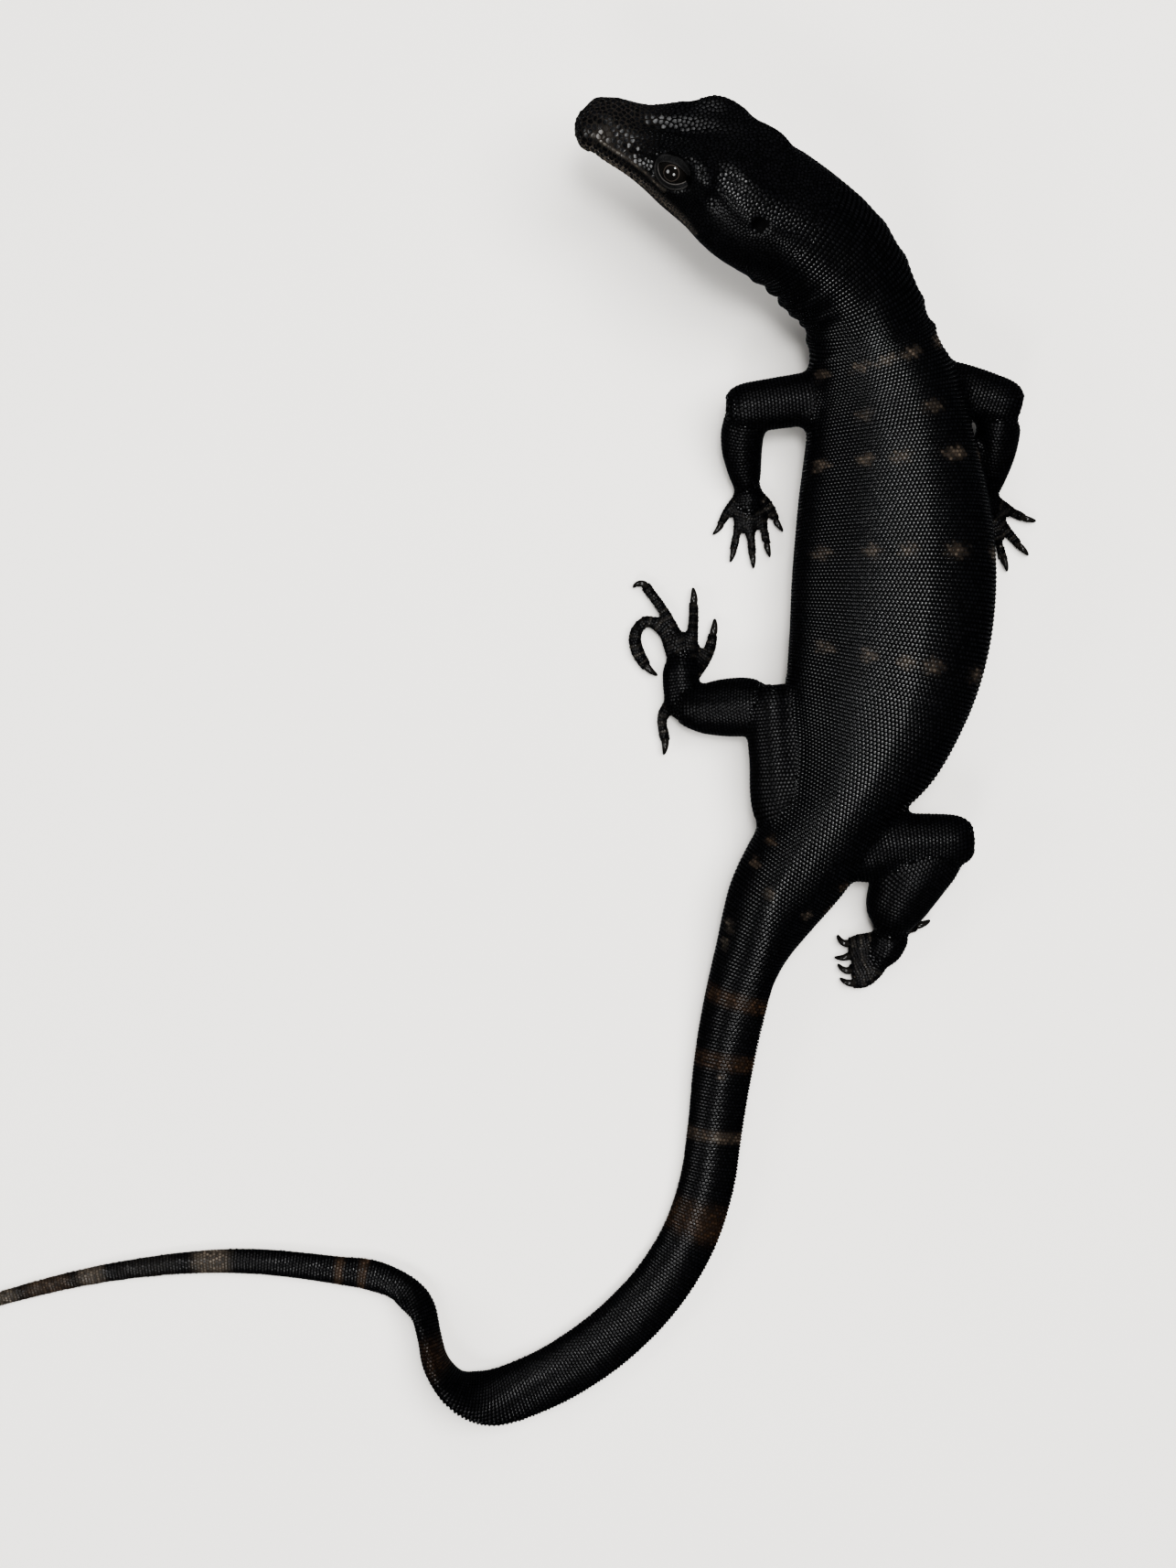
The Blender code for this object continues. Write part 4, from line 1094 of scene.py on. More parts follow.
def body_rows():
    """Roots in rows: arc length is measured both ways from the middle of the back to that of the belly."""
    places = []
    facing = []
    for number, run in enumerate(row_places()):
        turn = np.linspace(math.pi / 2, math.pi / 2 + 2 * math.pi, OUTLINE_SIDES + 1)
        outline = body_surface(run, turn)
        arc = run_of(outline)
        step = at_run(SCALE_STEP, run)
        half = arc[-1] / 2
        count = int(half / step)
        offset = np.arange(-count, count + 1) * step + (step / 2 if number % 2 else 0.0)
        offset = offset[np.abs(offset) < half - BELLY_GAP * step]
        angles = np.interp(offset % arc[-1], arc, turn)
        row = body_surface(run, angles)
        places.append(row)
        after = body_surface(run + DIRECTION_STEP, angles)
        facing.append(after - row)
    return np.vstack(places), unit(np.vstack(facing))


roots, facing = body_rows()
height_limb, _ = height_over_limbs(roots)
kept = height_limb > ROW_CLEAR
body_roots = roots[kept]
body_facing = facing[kept]
print("body scales:", len(body_roots))

# %% Rings on limbs and toes
LIMB_ROW_STEP = {"upper": 0.00056, "lower": 0.00056, "foot": 0.00054, "toe": 0.00050}
LIMB_SCALE_STEP = {"upper": 0.00064, "lower": 0.00062, "foot": 0.00056, "toe": 0.00052}
# The number of scales in a ring goes by threes, so that most rings match the next and stand half a scale off.
COUNT_STEP = 3
RING_START = 0.0003
RING_CLEAR = 0.0001


def tube_rows(number, name, tube):
    """Roots in rings round one tube, with those inside the body or another tube left out."""
    kind = "toe" if "toe" in name else name.split("_")[-1]
    length = run_of(tube["points"])[-1]
    places = []
    facing = []
    for row, run in enumerate(np.arange(RING_START, length, LIMB_ROW_STEP[kind])):
        radius = tube_profile(tube["points"], tube["radii"], np.array([run]), tube["round"])[2][0]
        count = max(int(round(2 * math.pi * radius / LIMB_SCALE_STEP[kind] / COUNT_STEP)), 2) * COUNT_STEP
        angle = (np.arange(count) + 0.5 * (row % 2)) * 2 * math.pi / count
        ring = tube_surface(tube, run, angle)
        places.append(ring)
        facing.append(tube_surface(tube, run + DIRECTION_STEP, angle) - ring)
    places = np.vstack(places)
    facing = unit(np.vstack(facing))
    clear = (height_over_limbs(places, number)[0] > RING_CLEAR) & (height_over_body(places)[0] > RING_CLEAR)
    return places[clear], facing[clear]


limb_rows = [tube_rows(number, name, tube) for number, (name, tube) in enumerate(TUBES.items())]
limb_roots = np.vstack([places for places, _ in limb_rows])
limb_facing = np.vstack([ways for _, ways in limb_rows])
print("limb scales:", len(limb_roots))

# %% Lips and brows
# Kinds of scale, by number.
LIP, BROW, ROW, LIMB, MOSAIC, CANTHAL = range(6)
LABIAL_STEP = 0.00105
LABIAL_OFFSET = 0.00052
LABIAL_RUN = (0.0016, 0.0242)
CANTHAL_STEP = 0.00080
CANTHAL_RUN = (0.0050, 0.0160)
BROW_RUNS = (0.0142, 0.0155, 0.0169, 0.0184, 0.0199, 0.0212)
BROW_ANGLE = (52, 50, 48, 47, 46, 47)


def angle_at_height(run, height, mirror):
    """Angle where the head's outline passes a height over its axis, on the side given by the mirror."""
    turn = np.radians(np.linspace(-88.0, 88.0, 89))
    centre, _, _, up = head_axes(run)
    level = (body_surface(run, turn) - centre) @ up
    angle = np.interp(height, level, turn)
    return angle if mirror > 0 else math.pi - angle


def plates(runs, angles):
    """Roots of large plates at runs and angles, facing back along the head."""
    places = np.array([body_surface(run, angle) for run, angle in zip(runs, angles)])
    after = np.array([body_surface(run + DIRECTION_STEP, angle) for run, angle in zip(runs, angles)])
    return places, unit(after - places)


labial_runs = np.arange(*LABIAL_RUN, LABIAL_STEP)
canthal_runs = np.arange(*CANTHAL_RUN, CANTHAL_STEP)
plate_roots = []
plate_facing = []
for mirror in (1, -1):
    for way in (1, -1):
        heights = at_run(MOUTH_LINE, labial_runs) + way * LABIAL_OFFSET
        angles = [angle_at_height(run, height, mirror) for run, height in zip(labial_runs, heights)]
        places, ways = plates(labial_runs, angles)
        plate_roots.append(places)
        plate_facing.append(ways)
    angles = [math.radians(around if mirror > 0 else 180 - around) for around in BROW_ANGLE]
    places, ways = plates(BROW_RUNS, angles)
    plate_roots.append(places)
    plate_facing.append(ways)
    heights = [at_run(CANTHAL_LINE, run) for run in canthal_runs]
    angles = [angle_at_height(run, height, mirror) for run, height in zip(canthal_runs, heights)]
    places, ways = plates(canthal_runs, angles)
    plate_roots.append(places)
    plate_facing.append(ways)
plate_kind = [LIP] * (len(labial_runs) * 2) + [BROW] * len(BROW_RUNS) + [CANTHAL] * len(canthal_runs)
plate_kind = np.array(plate_kind * 2)
plate_roots = np.vstack(plate_roots)
plate_facing = np.vstack(plate_facing)
print("lip and brow plates:", len(plate_roots))

# %% The mosaic
rng = np.random.default_rng(41)
HEAD_SIZE = (
    (0.000, 0.00085),
    (0.006, 0.00092),
    (0.012, 0.00085),
    (0.018, 0.00072),
    (0.026, 0.00066),
    (0.040, 0.00060),
)
CHEEK_SIZE = 0.00052
THROAT_SIZE = 0.00060
JOIN_SIZE = 0.00058
LARGEST_SIZE = 0.0012
# Where the cheek's size begins in front of the eye, the angles where the top and the throat begin, and
# the fades.
CHEEK_START = 0.016
CHEEK_FADE = 0.008
TOP_START = 30
THROAT_START = -45
ANGLE_FADE = 20
HEAD_END = 0.045
# How much of its size a scale keeps clear of the rows and of other picked places.
ROW_SPACE = 0.80
PICK_SPACE = 0.78
ROWS_OVERLAP = 0.002
JOIN_BAND = 0.0025
CANDIDATES_EACH = 3
RELAX_ROUNDS = 14
RELAX_NEIGHBOURS = 7
RELAX_PUSH = 0.28


def mosaic_size(places):
    """Distance between scales: by run on the top of the head, small on cheeks and throat."""
    run, left, up, near = body_place(places)
    angle = np.degrees(np.arctan2(up, np.abs(left)))
    top = at_run(HEAD_SIZE, run)
    cheek = CHEEK_SIZE + (top - CHEEK_SIZE) * np.clip((CHEEK_START - run) / CHEEK_FADE, 0.0, 1.0)
    top_share = np.clip((angle - TOP_START) / ANGLE_FADE, 0.0, 1.0)
    throat_share = np.clip((THROAT_START - angle) / ANGLE_FADE, 0.0, 1.0)
    size = cheek + (top - cheek) * top_share
    size = size + (THROAT_SIZE - size) * throat_share
    return np.where(run < HEAD_END, size, JOIN_SIZE)


def tree_of(places):
    """Search tree of places, numbered in order."""
    tree = KDTree(len(places))
    for number, place in enumerate(places):
        tree.insert(place, number)
    tree.balance()
    return tree


skin_tree = BVHTree.FromPolygons(SKIN_POINTS.tolist(), [tuple(face.vertices) for face in skin_mesh.polygons])
face_corners = np.array([tuple(face.vertices)[:4] + (face.vertices[0],) * (4 - len(face.vertices))
                         for face in skin_mesh.polygons])


def onto_skin(places):
    """Nearest places on the skin, with the skin's smooth normal there."""
    found = [skin_tree.find_nearest(place) for place in places]
    on = np.array([tuple(hit[0]) for hit in found])
    faces = np.array([hit[2] for hit in found])
    return on, unit(SKIN_NORMALS[face_corners[faces]].mean(axis=1))


def picked_apart(places, sizes, taken):
    """Numbers of random places that stay a size apart from each other and from the places taken before."""
    everything = tree_of(places)
    blocked = np.zeros(len(places), bool)
    for place in taken:
        near = everything.find_range(place, LARGEST_SIZE)
        for _, number, apart in near:
            if apart < sizes[number] * ROW_SPACE:
                blocked[number] = True
    chosen = []
    for number in rng.permutation(len(places)):
        if blocked[number]:
            continue
        chosen.append(number)
        for _, other, apart in everything.find_range(places[number], sizes[number] * PICK_SPACE):
            blocked[other] = True
    return np.array(chosen)


def relaxed(places, sizes, others):
    """Pushes places apart until none is nearer than its size, and keeps them on the skin."""
    count = len(places)
    for _ in range(RELAX_ROUNDS):
        tree = tree_of(np.vstack([places, others]))
        every = np.vstack([places, others])
        near = np.array([[hit[1] for hit in tree.find_n(place, RELAX_NEIGHBOURS)] for place in places])
        offset = places[:, None, :] - every[near]
        apart = np.linalg.norm(offset, axis=2)
        push = np.clip(sizes[:, None] - apart, 0.0, None) / np.maximum(apart, 1e-6)
        push[apart < 1e-6] = 0.0
        places = places + (offset * push[:, :, None]).sum(axis=1) * RELAX_PUSH
        places = onto_skin(places)[0]
    return places


# %% Pick and relax the mosaic
row_roots = np.vstack([plate_roots, body_roots, limb_roots])
row_facing = np.vstack([plate_facing, body_facing, limb_facing])
row_roots, row_normals = onto_skin(row_roots)

spread = rng.random((len(face_corners), CANDIDATES_EACH, 2))
mixed_a = SKIN_POINTS[face_corners[:, 0]][:, None, :] * (1 - spread[:, :, :1])
mixed_a = mixed_a + SKIN_POINTS[face_corners[:, 1]][:, None, :] * spread[:, :, :1]
mixed_b = SKIN_POINTS[face_corners[:, 3]][:, None, :] * (1 - spread[:, :, :1])
mixed_b = mixed_b + SKIN_POINTS[face_corners[:, 2]][:, None, :] * spread[:, :, :1]
candidates = (mixed_a * (1 - spread[:, :, 1:]) + mixed_b * spread[:, :, 1:]).reshape(-1, 3)
candidate_run = body_place(candidates)[0]
candidate_join = height_over_limbs(candidates)[0]
wanted = (candidate_run < ROWS_START + ROWS_OVERLAP) | (candidate_join < JOIN_BAND)
candidates = candidates[wanted]
sizes = mosaic_size(candidates)
chosen = picked_apart(candidates, sizes, row_roots)
mosaic = relaxed(candidates[chosen], sizes[chosen], row_roots)
mosaic, mosaic_normals = onto_skin(mosaic)
print("mosaic scales:", len(mosaic))

# %% [markdown]
# ## The coat of scales
# Each scale is a small closed dome of horn, rooted a little way into the skin. Its outline reaches out
# from the root in eight directions, as far as its own size or half way to each neighbour, whichever is
# less. That leaves a thin seam of skin between all of them, like the seams in a real hide, and no two
# scales touch.

# %% Neighbours and outlines
SCALE_SIDES = 8
NEIGHBOURS = 10
# Share of the reach left bare between rows and between the scales of a row, by run.
FORE_SEAM = ((0.0, 0.05), (0.030, 0.07), (0.045, 0.18), (0.15, 0.18), (0.20, 0.24), (0.394, 0.20))
LIMB_SEAM = 0.12
SIDE_SEAM = ((0.0, 0.05), (0.030, 0.07), (0.045, 0.10), (0.15, 0.10), (0.20, 0.07), (0.394, 0.10))
# Half the length and width of the kinds of one size; the others take a share of their row or mosaic distance.
HALF_SIZE = {
    LIP: (0.00060, 0.00048),
    BROW: (0.00066, 0.00110),
    LIMB: (0.00036, 0.00036),
    CANTHAL: (0.00046, 0.00027),
}
ROW_SHARE = (0.60, 0.56)
MOSAIC_SHARE = (0.70, 0.68)
# Scales that would be pressed against the floor, or stand in an opening, are left out.
FLOOR_NEAR = 0.00035
FACES_DOWN = -0.2
LID_OVERLAP = 0.0001
OPENING_CLEAR = ((NOSTRIL_PLACE, 0.0007), (EAR_PLACE, 0.0012))
LEAST_APART = 0.00030
LEAST_REACH = 0.00010


def close_pairs_dropped(places, least):
    """Whether each place is kept: the later one of any pair nearer than the least distance goes."""
    tree = tree_of(places)
    kept = np.ones(len(places), bool)
    for number, place in enumerate(places):
        if kept[number]:
            for _, other, _ in tree.find_range(place, least):
                if other > number:
                    kept[other] = False
    return kept


places = np.vstack([row_roots, mosaic])
normals = np.vstack([row_normals, mosaic_normals])
mosaic_facing = unit(np.gradient(AXIS_CENTRE, axis=0))[body_place(mosaic)[3]]
facing = np.vstack([row_facing, mosaic_facing])
kind = [plate_kind]
for group, number in ((body_roots, ROW), (limb_roots, LIMB), (mosaic, MOSAIC)):
    kind.append(np.full(len(group), number))
kind = np.concatenate(kind)

on_floor = (places[:, 2] < FLOOR_NEAR) & (normals[:, 2] < FACES_DOWN)
clear = np.ones(len(places), bool)
for mirror in (1, -1):
    centre, look, back, up = eye_frame(mirror)
    offset = places - centre
    spread = np.hypot(offset @ back / (LID_REACH_ALONG - LID_OVERLAP),
                      offset @ up / (LID_REACH_UP - LID_OVERLAP))
    clear &= (spread > 1.0) | (offset @ look < 0)
    for opening, reach in OPENING_CLEAR:
        spot = head_place(opening[0], opening[1] * mirror, opening[2])
        clear &= np.linalg.norm(places - spot, axis=1) > reach
kept = ~on_floor & clear
kept[kept] = close_pairs_dropped(places[kept], LEAST_APART)
places, normals, facing, kind = places[kept], normals[kept], facing[kept], kind[kept]
facing = unit(facing - normals * dot(facing, normals)[:, None])
across = np.cross(normals, facing)

run, left, up, near = body_place(places)
over_limbs, owner = height_over_limbs(places)


def half_sizes(axis, row_table):
    """Half length (axis 0) or half width (axis 1) of every scale, before its neighbours crop it."""
    sizes = at_run(row_table, run) * ROW_SHARE[axis]
    sizes = np.where(kind == MOSAIC, mosaic_size(places) * MOSAIC_SHARE[axis], sizes)
    for number, half in HALF_SIZE.items():
        sizes = np.where(kind == number, half[axis], sizes)
    return sizes


half_long = half_sizes(0, ROW_STEP)
half_wide = half_sizes(1, SCALE_STEP)
tree = tree_of(places)
neighbours = np.array([[hit[1] for hit in tree.find_n(place, NEIGHBOURS + 1)][1:] for place in places])
print("scales kept:", len(places))

# %% Outline of each scale
turns = np.arange(SCALE_SIDES) * 2 * math.pi / SCALE_SIDES + math.pi / SCALE_SIDES
cosine = np.cos(turns)
sine = np.sin(turns)
own = 1 / np.sqrt((cosine[None, :] / half_long[:, None]) ** 2 + (sine[None, :] / half_wide[:, None]) ** 2)
spokes = facing[:, None, :] * cosine[None, :, None] + across[:, None, :] * sine[None, :, None]
weight = np.sqrt(half_long * half_wide)
reach = own.copy()
for place in range(NEIGHBOURS):
    other = neighbours[:, place]
    offset = places[other] - places
    offset -= normals * dot(offset, normals)[:, None]
    towards = np.einsum("ij,ikj->ik", offset, spokes)
    share = weight / (weight + weight[other])
    half_way = dot(offset, offset)[:, None] * share[:, None] / np.maximum(towards, 1e-9)
    reach = np.where(towards > 0, np.minimum(reach, half_way), reach)
fore_seam = np.where(kind == LIMB, LIMB_SEAM, at_run(FORE_SEAM, run))[:, None]
side_seam = np.where(kind == LIMB, LIMB_SEAM, at_run(SIDE_SEAM, run))[:, None]
covered = 1 - fore_seam * cosine[None, :] ** 2 - side_seam * sine[None, :] ** 2
reach = np.maximum(reach * covered, LEAST_REACH)
print("mean reach of a scale:", round(reach.mean() * 1000, 3), "mm")

# %% How high each scale stands
SUNK = 0.00010
SHOULDER_REACH = 0.84
SHOULDER_RISE = 0.32
SHOULDER_SIDE_RISE = ((0.0, 0.26), (0.14, 0.26), (0.17, 0.56), (0.394, 0.56))
APEX_BACK = 0.10
DOME_RISE = (
    (0.000, 0.00005),
    (0.022, 0.00006),
    (0.034, 0.00011),
    (0.060, 0.00015),
    (0.160, 0.00015),
    (0.394, 0.00011),
)
PLATE_RISE = 0.00007
LIMB_RISE = 0.00012
# The tail's double keel: height, angle from the top and its spread, run over which it starts, full-size
# tail height.
KEEL_RISE = 0.00022
KEEL_ANGLE = 0.16
KEEL_SPREAD = 0.12
KEEL_TALL = 0.004
KEEL_LEAST = 0.15
RISE_VARIES = 0.12
USUAL_REACH = 0.00028
RISE_BY_REACH = (0.4, 1.2)

angle = np.arctan2(up, left)
rise = np.where(np.isin(kind, (LIP, BROW, CANTHAL)), PLATE_RISE, at_run(DOME_RISE, run))
rise = np.where(kind == LIMB, LIMB_RISE, rise)
keel = np.clip((run - RUN_AT["pelvis"]) / KEEL_FADE_IN, 0.0, 1.0) * (kind == ROW)
keel = keel * np.exp(-(((np.abs(angle - math.pi / 2) - KEEL_ANGLE) / KEEL_SPREAD) ** 2))
keel = keel * np.clip(AXIS_SIZE[near, 1] / KEEL_TALL, KEEL_LEAST, 1.0)
rise = (rise + KEEL_RISE * keel) * rng.uniform(1 - RISE_VARIES, 1 + RISE_VARIES, len(places))
rise = rise * np.clip(reach.mean(axis=1) / USUAL_REACH, *RISE_BY_REACH)
print("mean height of a scale:", round(rise.mean() * 1000, 3), "mm")

# %% Domes
SCALES_PER_PIECE = 6000
BAKE_PATCH = 0.003


def domes(numbers):
    """Points of the chosen scales: bottom rim in the skin, shoulder ring, apex a little towards the tail."""
    root = places[numbers][:, None, :]
    out = spokes[numbers] * reach[numbers][:, :, None]
    up_way = normals[numbers][:, None, :]
    tall = rise[numbers][:, None, None]
    rim = root + out - up_way * SUNK
    at_sides = at_run(SHOULDER_SIDE_RISE, run[numbers])[:, None, None]
    shoulder = root + out * SHOULDER_REACH
    shoulder = shoulder + up_way * tall * (SHOULDER_RISE + at_sides * (sine**2)[None, :, None])
    leaned = reach[numbers].mean(axis=1)[:, None, None] * APEX_BACK
    apex = root + up_way * tall + facing[numbers][:, None, :] * leaned
    return np.concatenate([rim, shoulder, apex], axis=1)


def dome_faces(count):
    """Corner lists of all domes: side quads, top triangles and the bottom face, as one run of loops."""
    corner = np.arange(SCALE_SIDES)
    after = (corner + 1) % SCALE_SIDES
    above = corner + SCALE_SIDES
    above_after = after + SCALE_SIDES
    quads = np.stack([corner, after, above_after, above], axis=1).ravel()
    tops = np.stack([above, above_after, np.full(SCALE_SIDES, 2 * SCALE_SIDES)], axis=1).ravel()
    one = np.concatenate([quads, tops, corner[::-1]])
    sizes = np.array([4] * SCALE_SIDES + [3] * SCALE_SIDES + [SCALE_SIDES])
    per_scale = 2 * SCALE_SIDES + 1
    loops = (np.arange(count)[:, None] * per_scale + one[None, :]).ravel()
    return loops, np.tile(sizes, count)


# %% Where each scale bakes
# Two strips across the unwrap, for the trunk and for the tail: how far up each starts, and its height.
BAKE_EDGE = 0.01
TRUNK_STRIP = (0.01, 0.44)
TAIL_STRIP = (0.47, 0.20)
# Cells above them, for the limb parts and the toes: columns, height of a cell, and how far up they start.
LIMB_CELLS = (6, 0.10, 0.69)
TOE_CELLS = (10, 0.045, 0.90)
CELL_EDGE = 0.04


def bake_places():
    """Each root's place on an unwrap: trunk strip, tail strip, then a cell for each limb part and toe."""
    flat = np.zeros((len(places), 2))
    round_share = ((angle + math.pi / 2) % (2 * math.pi)) / (2 * math.pi)
    split = RUN_AT["pelvis"]
    trunk = (run < split, 0.0, split, TRUNK_STRIP)
    tail = (run >= split, split, BODY_LENGTH, TAIL_STRIP)
    for mine, start, end, strip in (trunk, tail):
        flat[mine, 0] = BAKE_EDGE + (1 - 2 * BAKE_EDGE) * (run[mine] - start) / (end - start)
        flat[mine, 1] = strip[0] + strip[1] * round_share[mine]
    parts = [number for number, name in enumerate(TUBES) if "toe" not in name]
    toes = [number for number, name in enumerate(TUBES) if "toe" in name]
    for group, (columns, height, first) in ((parts, LIMB_CELLS), (toes, TOE_CELLS)):
        for order, number in enumerate(group):
            mine = (kind == LIMB) & (owner == number)
            if not mine.any():
                continue
            samples = TUBE_CENTRE[TUBE_OWNER == number]
            near_sample = nearest_rows(places[mine], samples)
            heading = unit(np.gradient(samples, axis=0))[near_sample]
            side, upward = frames_along(heading, np.zeros(len(heading)))
            offset = places[mine] - samples[near_sample]
            share = (np.arctan2(dot(offset, upward), dot(offset, side)) + math.pi) / (2 * math.pi)
            row, column = divmod(order, columns)
            cell = 1 - 2 * CELL_EDGE
            flat[mine, 0] = (column + CELL_EDGE + cell * near_sample / len(samples)) / columns
            flat[mine, 1] = first + (row + CELL_EDGE + cell * share) * height
    return flat


# %% Paint the scales
PATCHY_LEAST = 0.35
# How pale the head's lines make the scales: along the canthal line the pale is a painted highlight, at the
# lips it is pale.
HEAD_LINE_SHARE = 0.05
CANTHAL_HIGHLIGHT_PALE = 0.12
# Pale rim round each nostril: how far out it lies, its width, and how pale it is.
RIM_FAR = 0.0010
RIM_WIDE = 0.0004
RIM_PALE = 0.08
# How matt the scales are: wholly so on the limbs, by run on the rest.
LIMB_MATT = 1.0
BODY_MATT = ((0.012, 0.0), (0.019, 0.7), (0.034, 0.7), (0.042, 0.0), (0.14, 0.0), (0.19, 0.7), (0.394, 0.8))

pale, brown = marks_at(places, owner, over_limbs)
tone = rng.random(len(places))
patchy = rng.uniform(PATCHY_LEAST, 1.0, len(places)) ** 2
# Scales on the canthal line and the canthal plates take a painted highlight.
pale = np.maximum(pale * patchy, HEAD_LINE_SHARE * head_lines(places))
pale = np.where(kind == CANTHAL, CANTHAL_HIGHLIGHT_PALE * patchy, pale)
for mirror in (1, -1):
    spot = head_place(NOSTRIL_PLACE[0], NOSTRIL_PLACE[1] * mirror, NOSTRIL_PLACE[2])
    far = np.linalg.norm(places - spot, axis=1)
    pale = np.maximum(pale, RIM_PALE * np.exp(-(((far - RIM_FAR) / RIM_WIDE) ** 2)))
matt = np.where(kind == LIMB, LIMB_MATT, at_run(BODY_MATT, run))
brown = brown * patchy
print("palest scale:", round(pale.max(), 2), "brownest scale:", round(brown.max(), 2))

# %% Build the scales
bake_centre = bake_places()
scale_pieces = []
for first in range(0, len(places), SCALES_PER_PIECE):
    numbers = np.arange(first, min(first + SCALES_PER_PIECE, len(places)))
    cloud = domes(numbers)
    count, each, _ = cloud.shape
    loops, sizes = dome_faces(count)
    mesh = bpy.data.meshes.new("scales_" + str(len(scale_pieces) + 1))
    mesh.vertices.add(count * each)
    mesh.vertices.foreach_set("co", cloud.ravel())
    mesh.loops.add(len(loops))
    mesh.loops.foreach_set("vertex_index", loops)
    mesh.polygons.add(len(sizes))
    mesh.polygons.foreach_set("loop_start", np.concatenate([[0], np.cumsum(sizes)[:-1]]))
    mesh.update(calc_edges=True)
    corners = mesh_edges(mesh) % each
    on_shoulder = ((corners >= SCALE_SIDES) & (corners < 2 * SCALE_SIDES)).all(axis=1)
    crease = mesh.attributes.new("sharp_edge", "BOOLEAN", "EDGE")
    crease.data.foreach_set("value", on_shoulder)
    for attribute, values in (("pale", pale), ("brown", brown), ("tone", tone), ("matt", matt)):
        layer = mesh.attributes.new(attribute, "FLOAT", "POINT")
        layer.data.foreach_set("value", np.repeat(values[numbers], each))
    offset = cloud - places[numbers][:, None, :]
    widest = reach[numbers].max(axis=1)[:, None]
    local = np.stack([np.einsum("ikj,ij->ik", offset, facing[numbers]) / widest,
                      np.einsum("ikj,ij->ik", offset, across[numbers]) / widest], axis=2)
    patch = (bake_centre[numbers][:, None, :] + local * BAKE_PATCH / 2).reshape(-1, 2)
    unwrap = mesh.uv_layers.new(name="OFBake")
    unwrap.data.foreach_set("uv", patch[loops].ravel())
    mesh.shade_smooth()
    mesh.validate()
    piece = bpy.data.objects.new(mesh.name, mesh)
    bpy.context.scene.collection.objects.link(piece)
    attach(piece, "root")
    scale_pieces.append(piece)
print("scale pieces:", len(scale_pieces))

# %% Paint the skin
# The skin between the scales carries the same markings, in deeper shade, and the pale seams of the head,
# which along the canthal line are a painted highlight.
SKIN_SHADE = 3
skin_over_limbs, skin_owner = height_over_limbs(SKIN_POINTS)
skin_pale, skin_brown = marks_at(SKIN_POINTS, skin_owner, skin_over_limbs)
skin_seam_and_highlight = head_seams(SKIN_POINTS)
skin_marks = {"pale": skin_pale / SKIN_SHADE, "brown": skin_brown / SKIN_SHADE, "seam": skin_seam_and_highlight}
for attribute, values in skin_marks.items():
    layer = skin_mesh.attributes.new(attribute, "FLOAT", "POINT")
    layer.data.foreach_set("value", values)
print("palest seam:", round(skin_seam_and_highlight.max(), 2))

# %% [markdown]
# ## Eyes and lids
# The eyeball is a ball with a clear bulge; a nearly black eye shows only a thin brown ring round the
# pupil. The lids are two soft rolls of skin that meet in an almond opening: a thin rim on the ball, a
# groove, then a second fold that runs out under the scales of the brow and cheek. They are one closed
# ring, a profile carried round the opening, and its outer edge is laid just under the skin all the way
# round. The rim and the crest of the second fold carry a painted highlight, a thin pale line where the
# rolls catch the light.

# %% Lids
LID_TURNS = 96
OPENING_ALONG = 0.00255
OPENING_UP = 0.00140
OPENING_DOWN = 0.00155
ALMOND = 0.45
LID_SINK = 0.00016
RIM_ON_BALL = 0.93
RAY_START = 0.006
EDGE_OFF_SKIN = 0.001
UNDER_EDGE = 0.0006
UNDER_RIM = 0.0009
# Lid profile: share of the way from rim to outer edge, and height over the straight line between them.
LID_PROFILE = (
    (0.00, 0.00005),
    (0.04, 0.00016),
    (0.10, 0.00018),
    (0.17, 0.00008),
    (0.30, 0.00014),
    (0.46, 0.00020),
    (0.56, 0.00011),
    (0.62, 0.00017),
    (0.78, 0.00013),
    (0.92, 0.00004),
    (1.00, 0.00000),
)


def lid_opening(turn):
    """Almond outline: an ellipse whose corners are drawn out by a power of the sine."""
    half_up = np.where(np.sin(turn) > 0, OPENING_UP, OPENING_DOWN)
    return np.cos(turn) * OPENING_ALONG, np.sin(turn) * np.abs(np.sin(turn)) ** ALMOND * half_up


def lid_grid(mirror):
    """Closed rings round the opening: the profile on top, then back underneath inside the head."""
    centre, look, back, up = eye_frame(mirror)
    turn = np.linspace(0.0, 2 * math.pi, LID_TURNS, endpoint=False)
    along, high = lid_opening(turn)
    spread = np.minimum(np.hypot(along, high), EYE_BALL_RADIUS * RIM_ON_BALL)
    depth = np.sqrt(EYE_BALL_RADIUS**2 - spread**2)
    rim = centre + along[:, None] * back + high[:, None] * up + depth[:, None] * look
    outer = centre + np.cos(turn)[:, None] * back * LID_REACH_ALONG
    outer = outer + np.sin(turn)[:, None] * up * LID_REACH_UP
    edge = []
    for place in outer:
        hit = skin_tree.ray_cast(place + look * RAY_START, -look)
        edge.append(tuple(hit[0]) if hit[0] is not None else tuple(place + look * EDGE_OFF_SKIN))
    edge = np.array(edge) - look * LID_SINK
    share = np.array([row[0] for row in LID_PROFILE])[None, :, None]
    lift = np.array([row[1] for row in LID_PROFILE])[None, :, None]
    top = rim[:, None, :] * (1 - share) + edge[:, None, :] * share + look * lift
    under_edge = edge - look * UNDER_EDGE
    under_rim = rim - look * UNDER_RIM
    return np.concatenate([top, under_edge[:, None, :], under_rim[:, None, :]], axis=1)


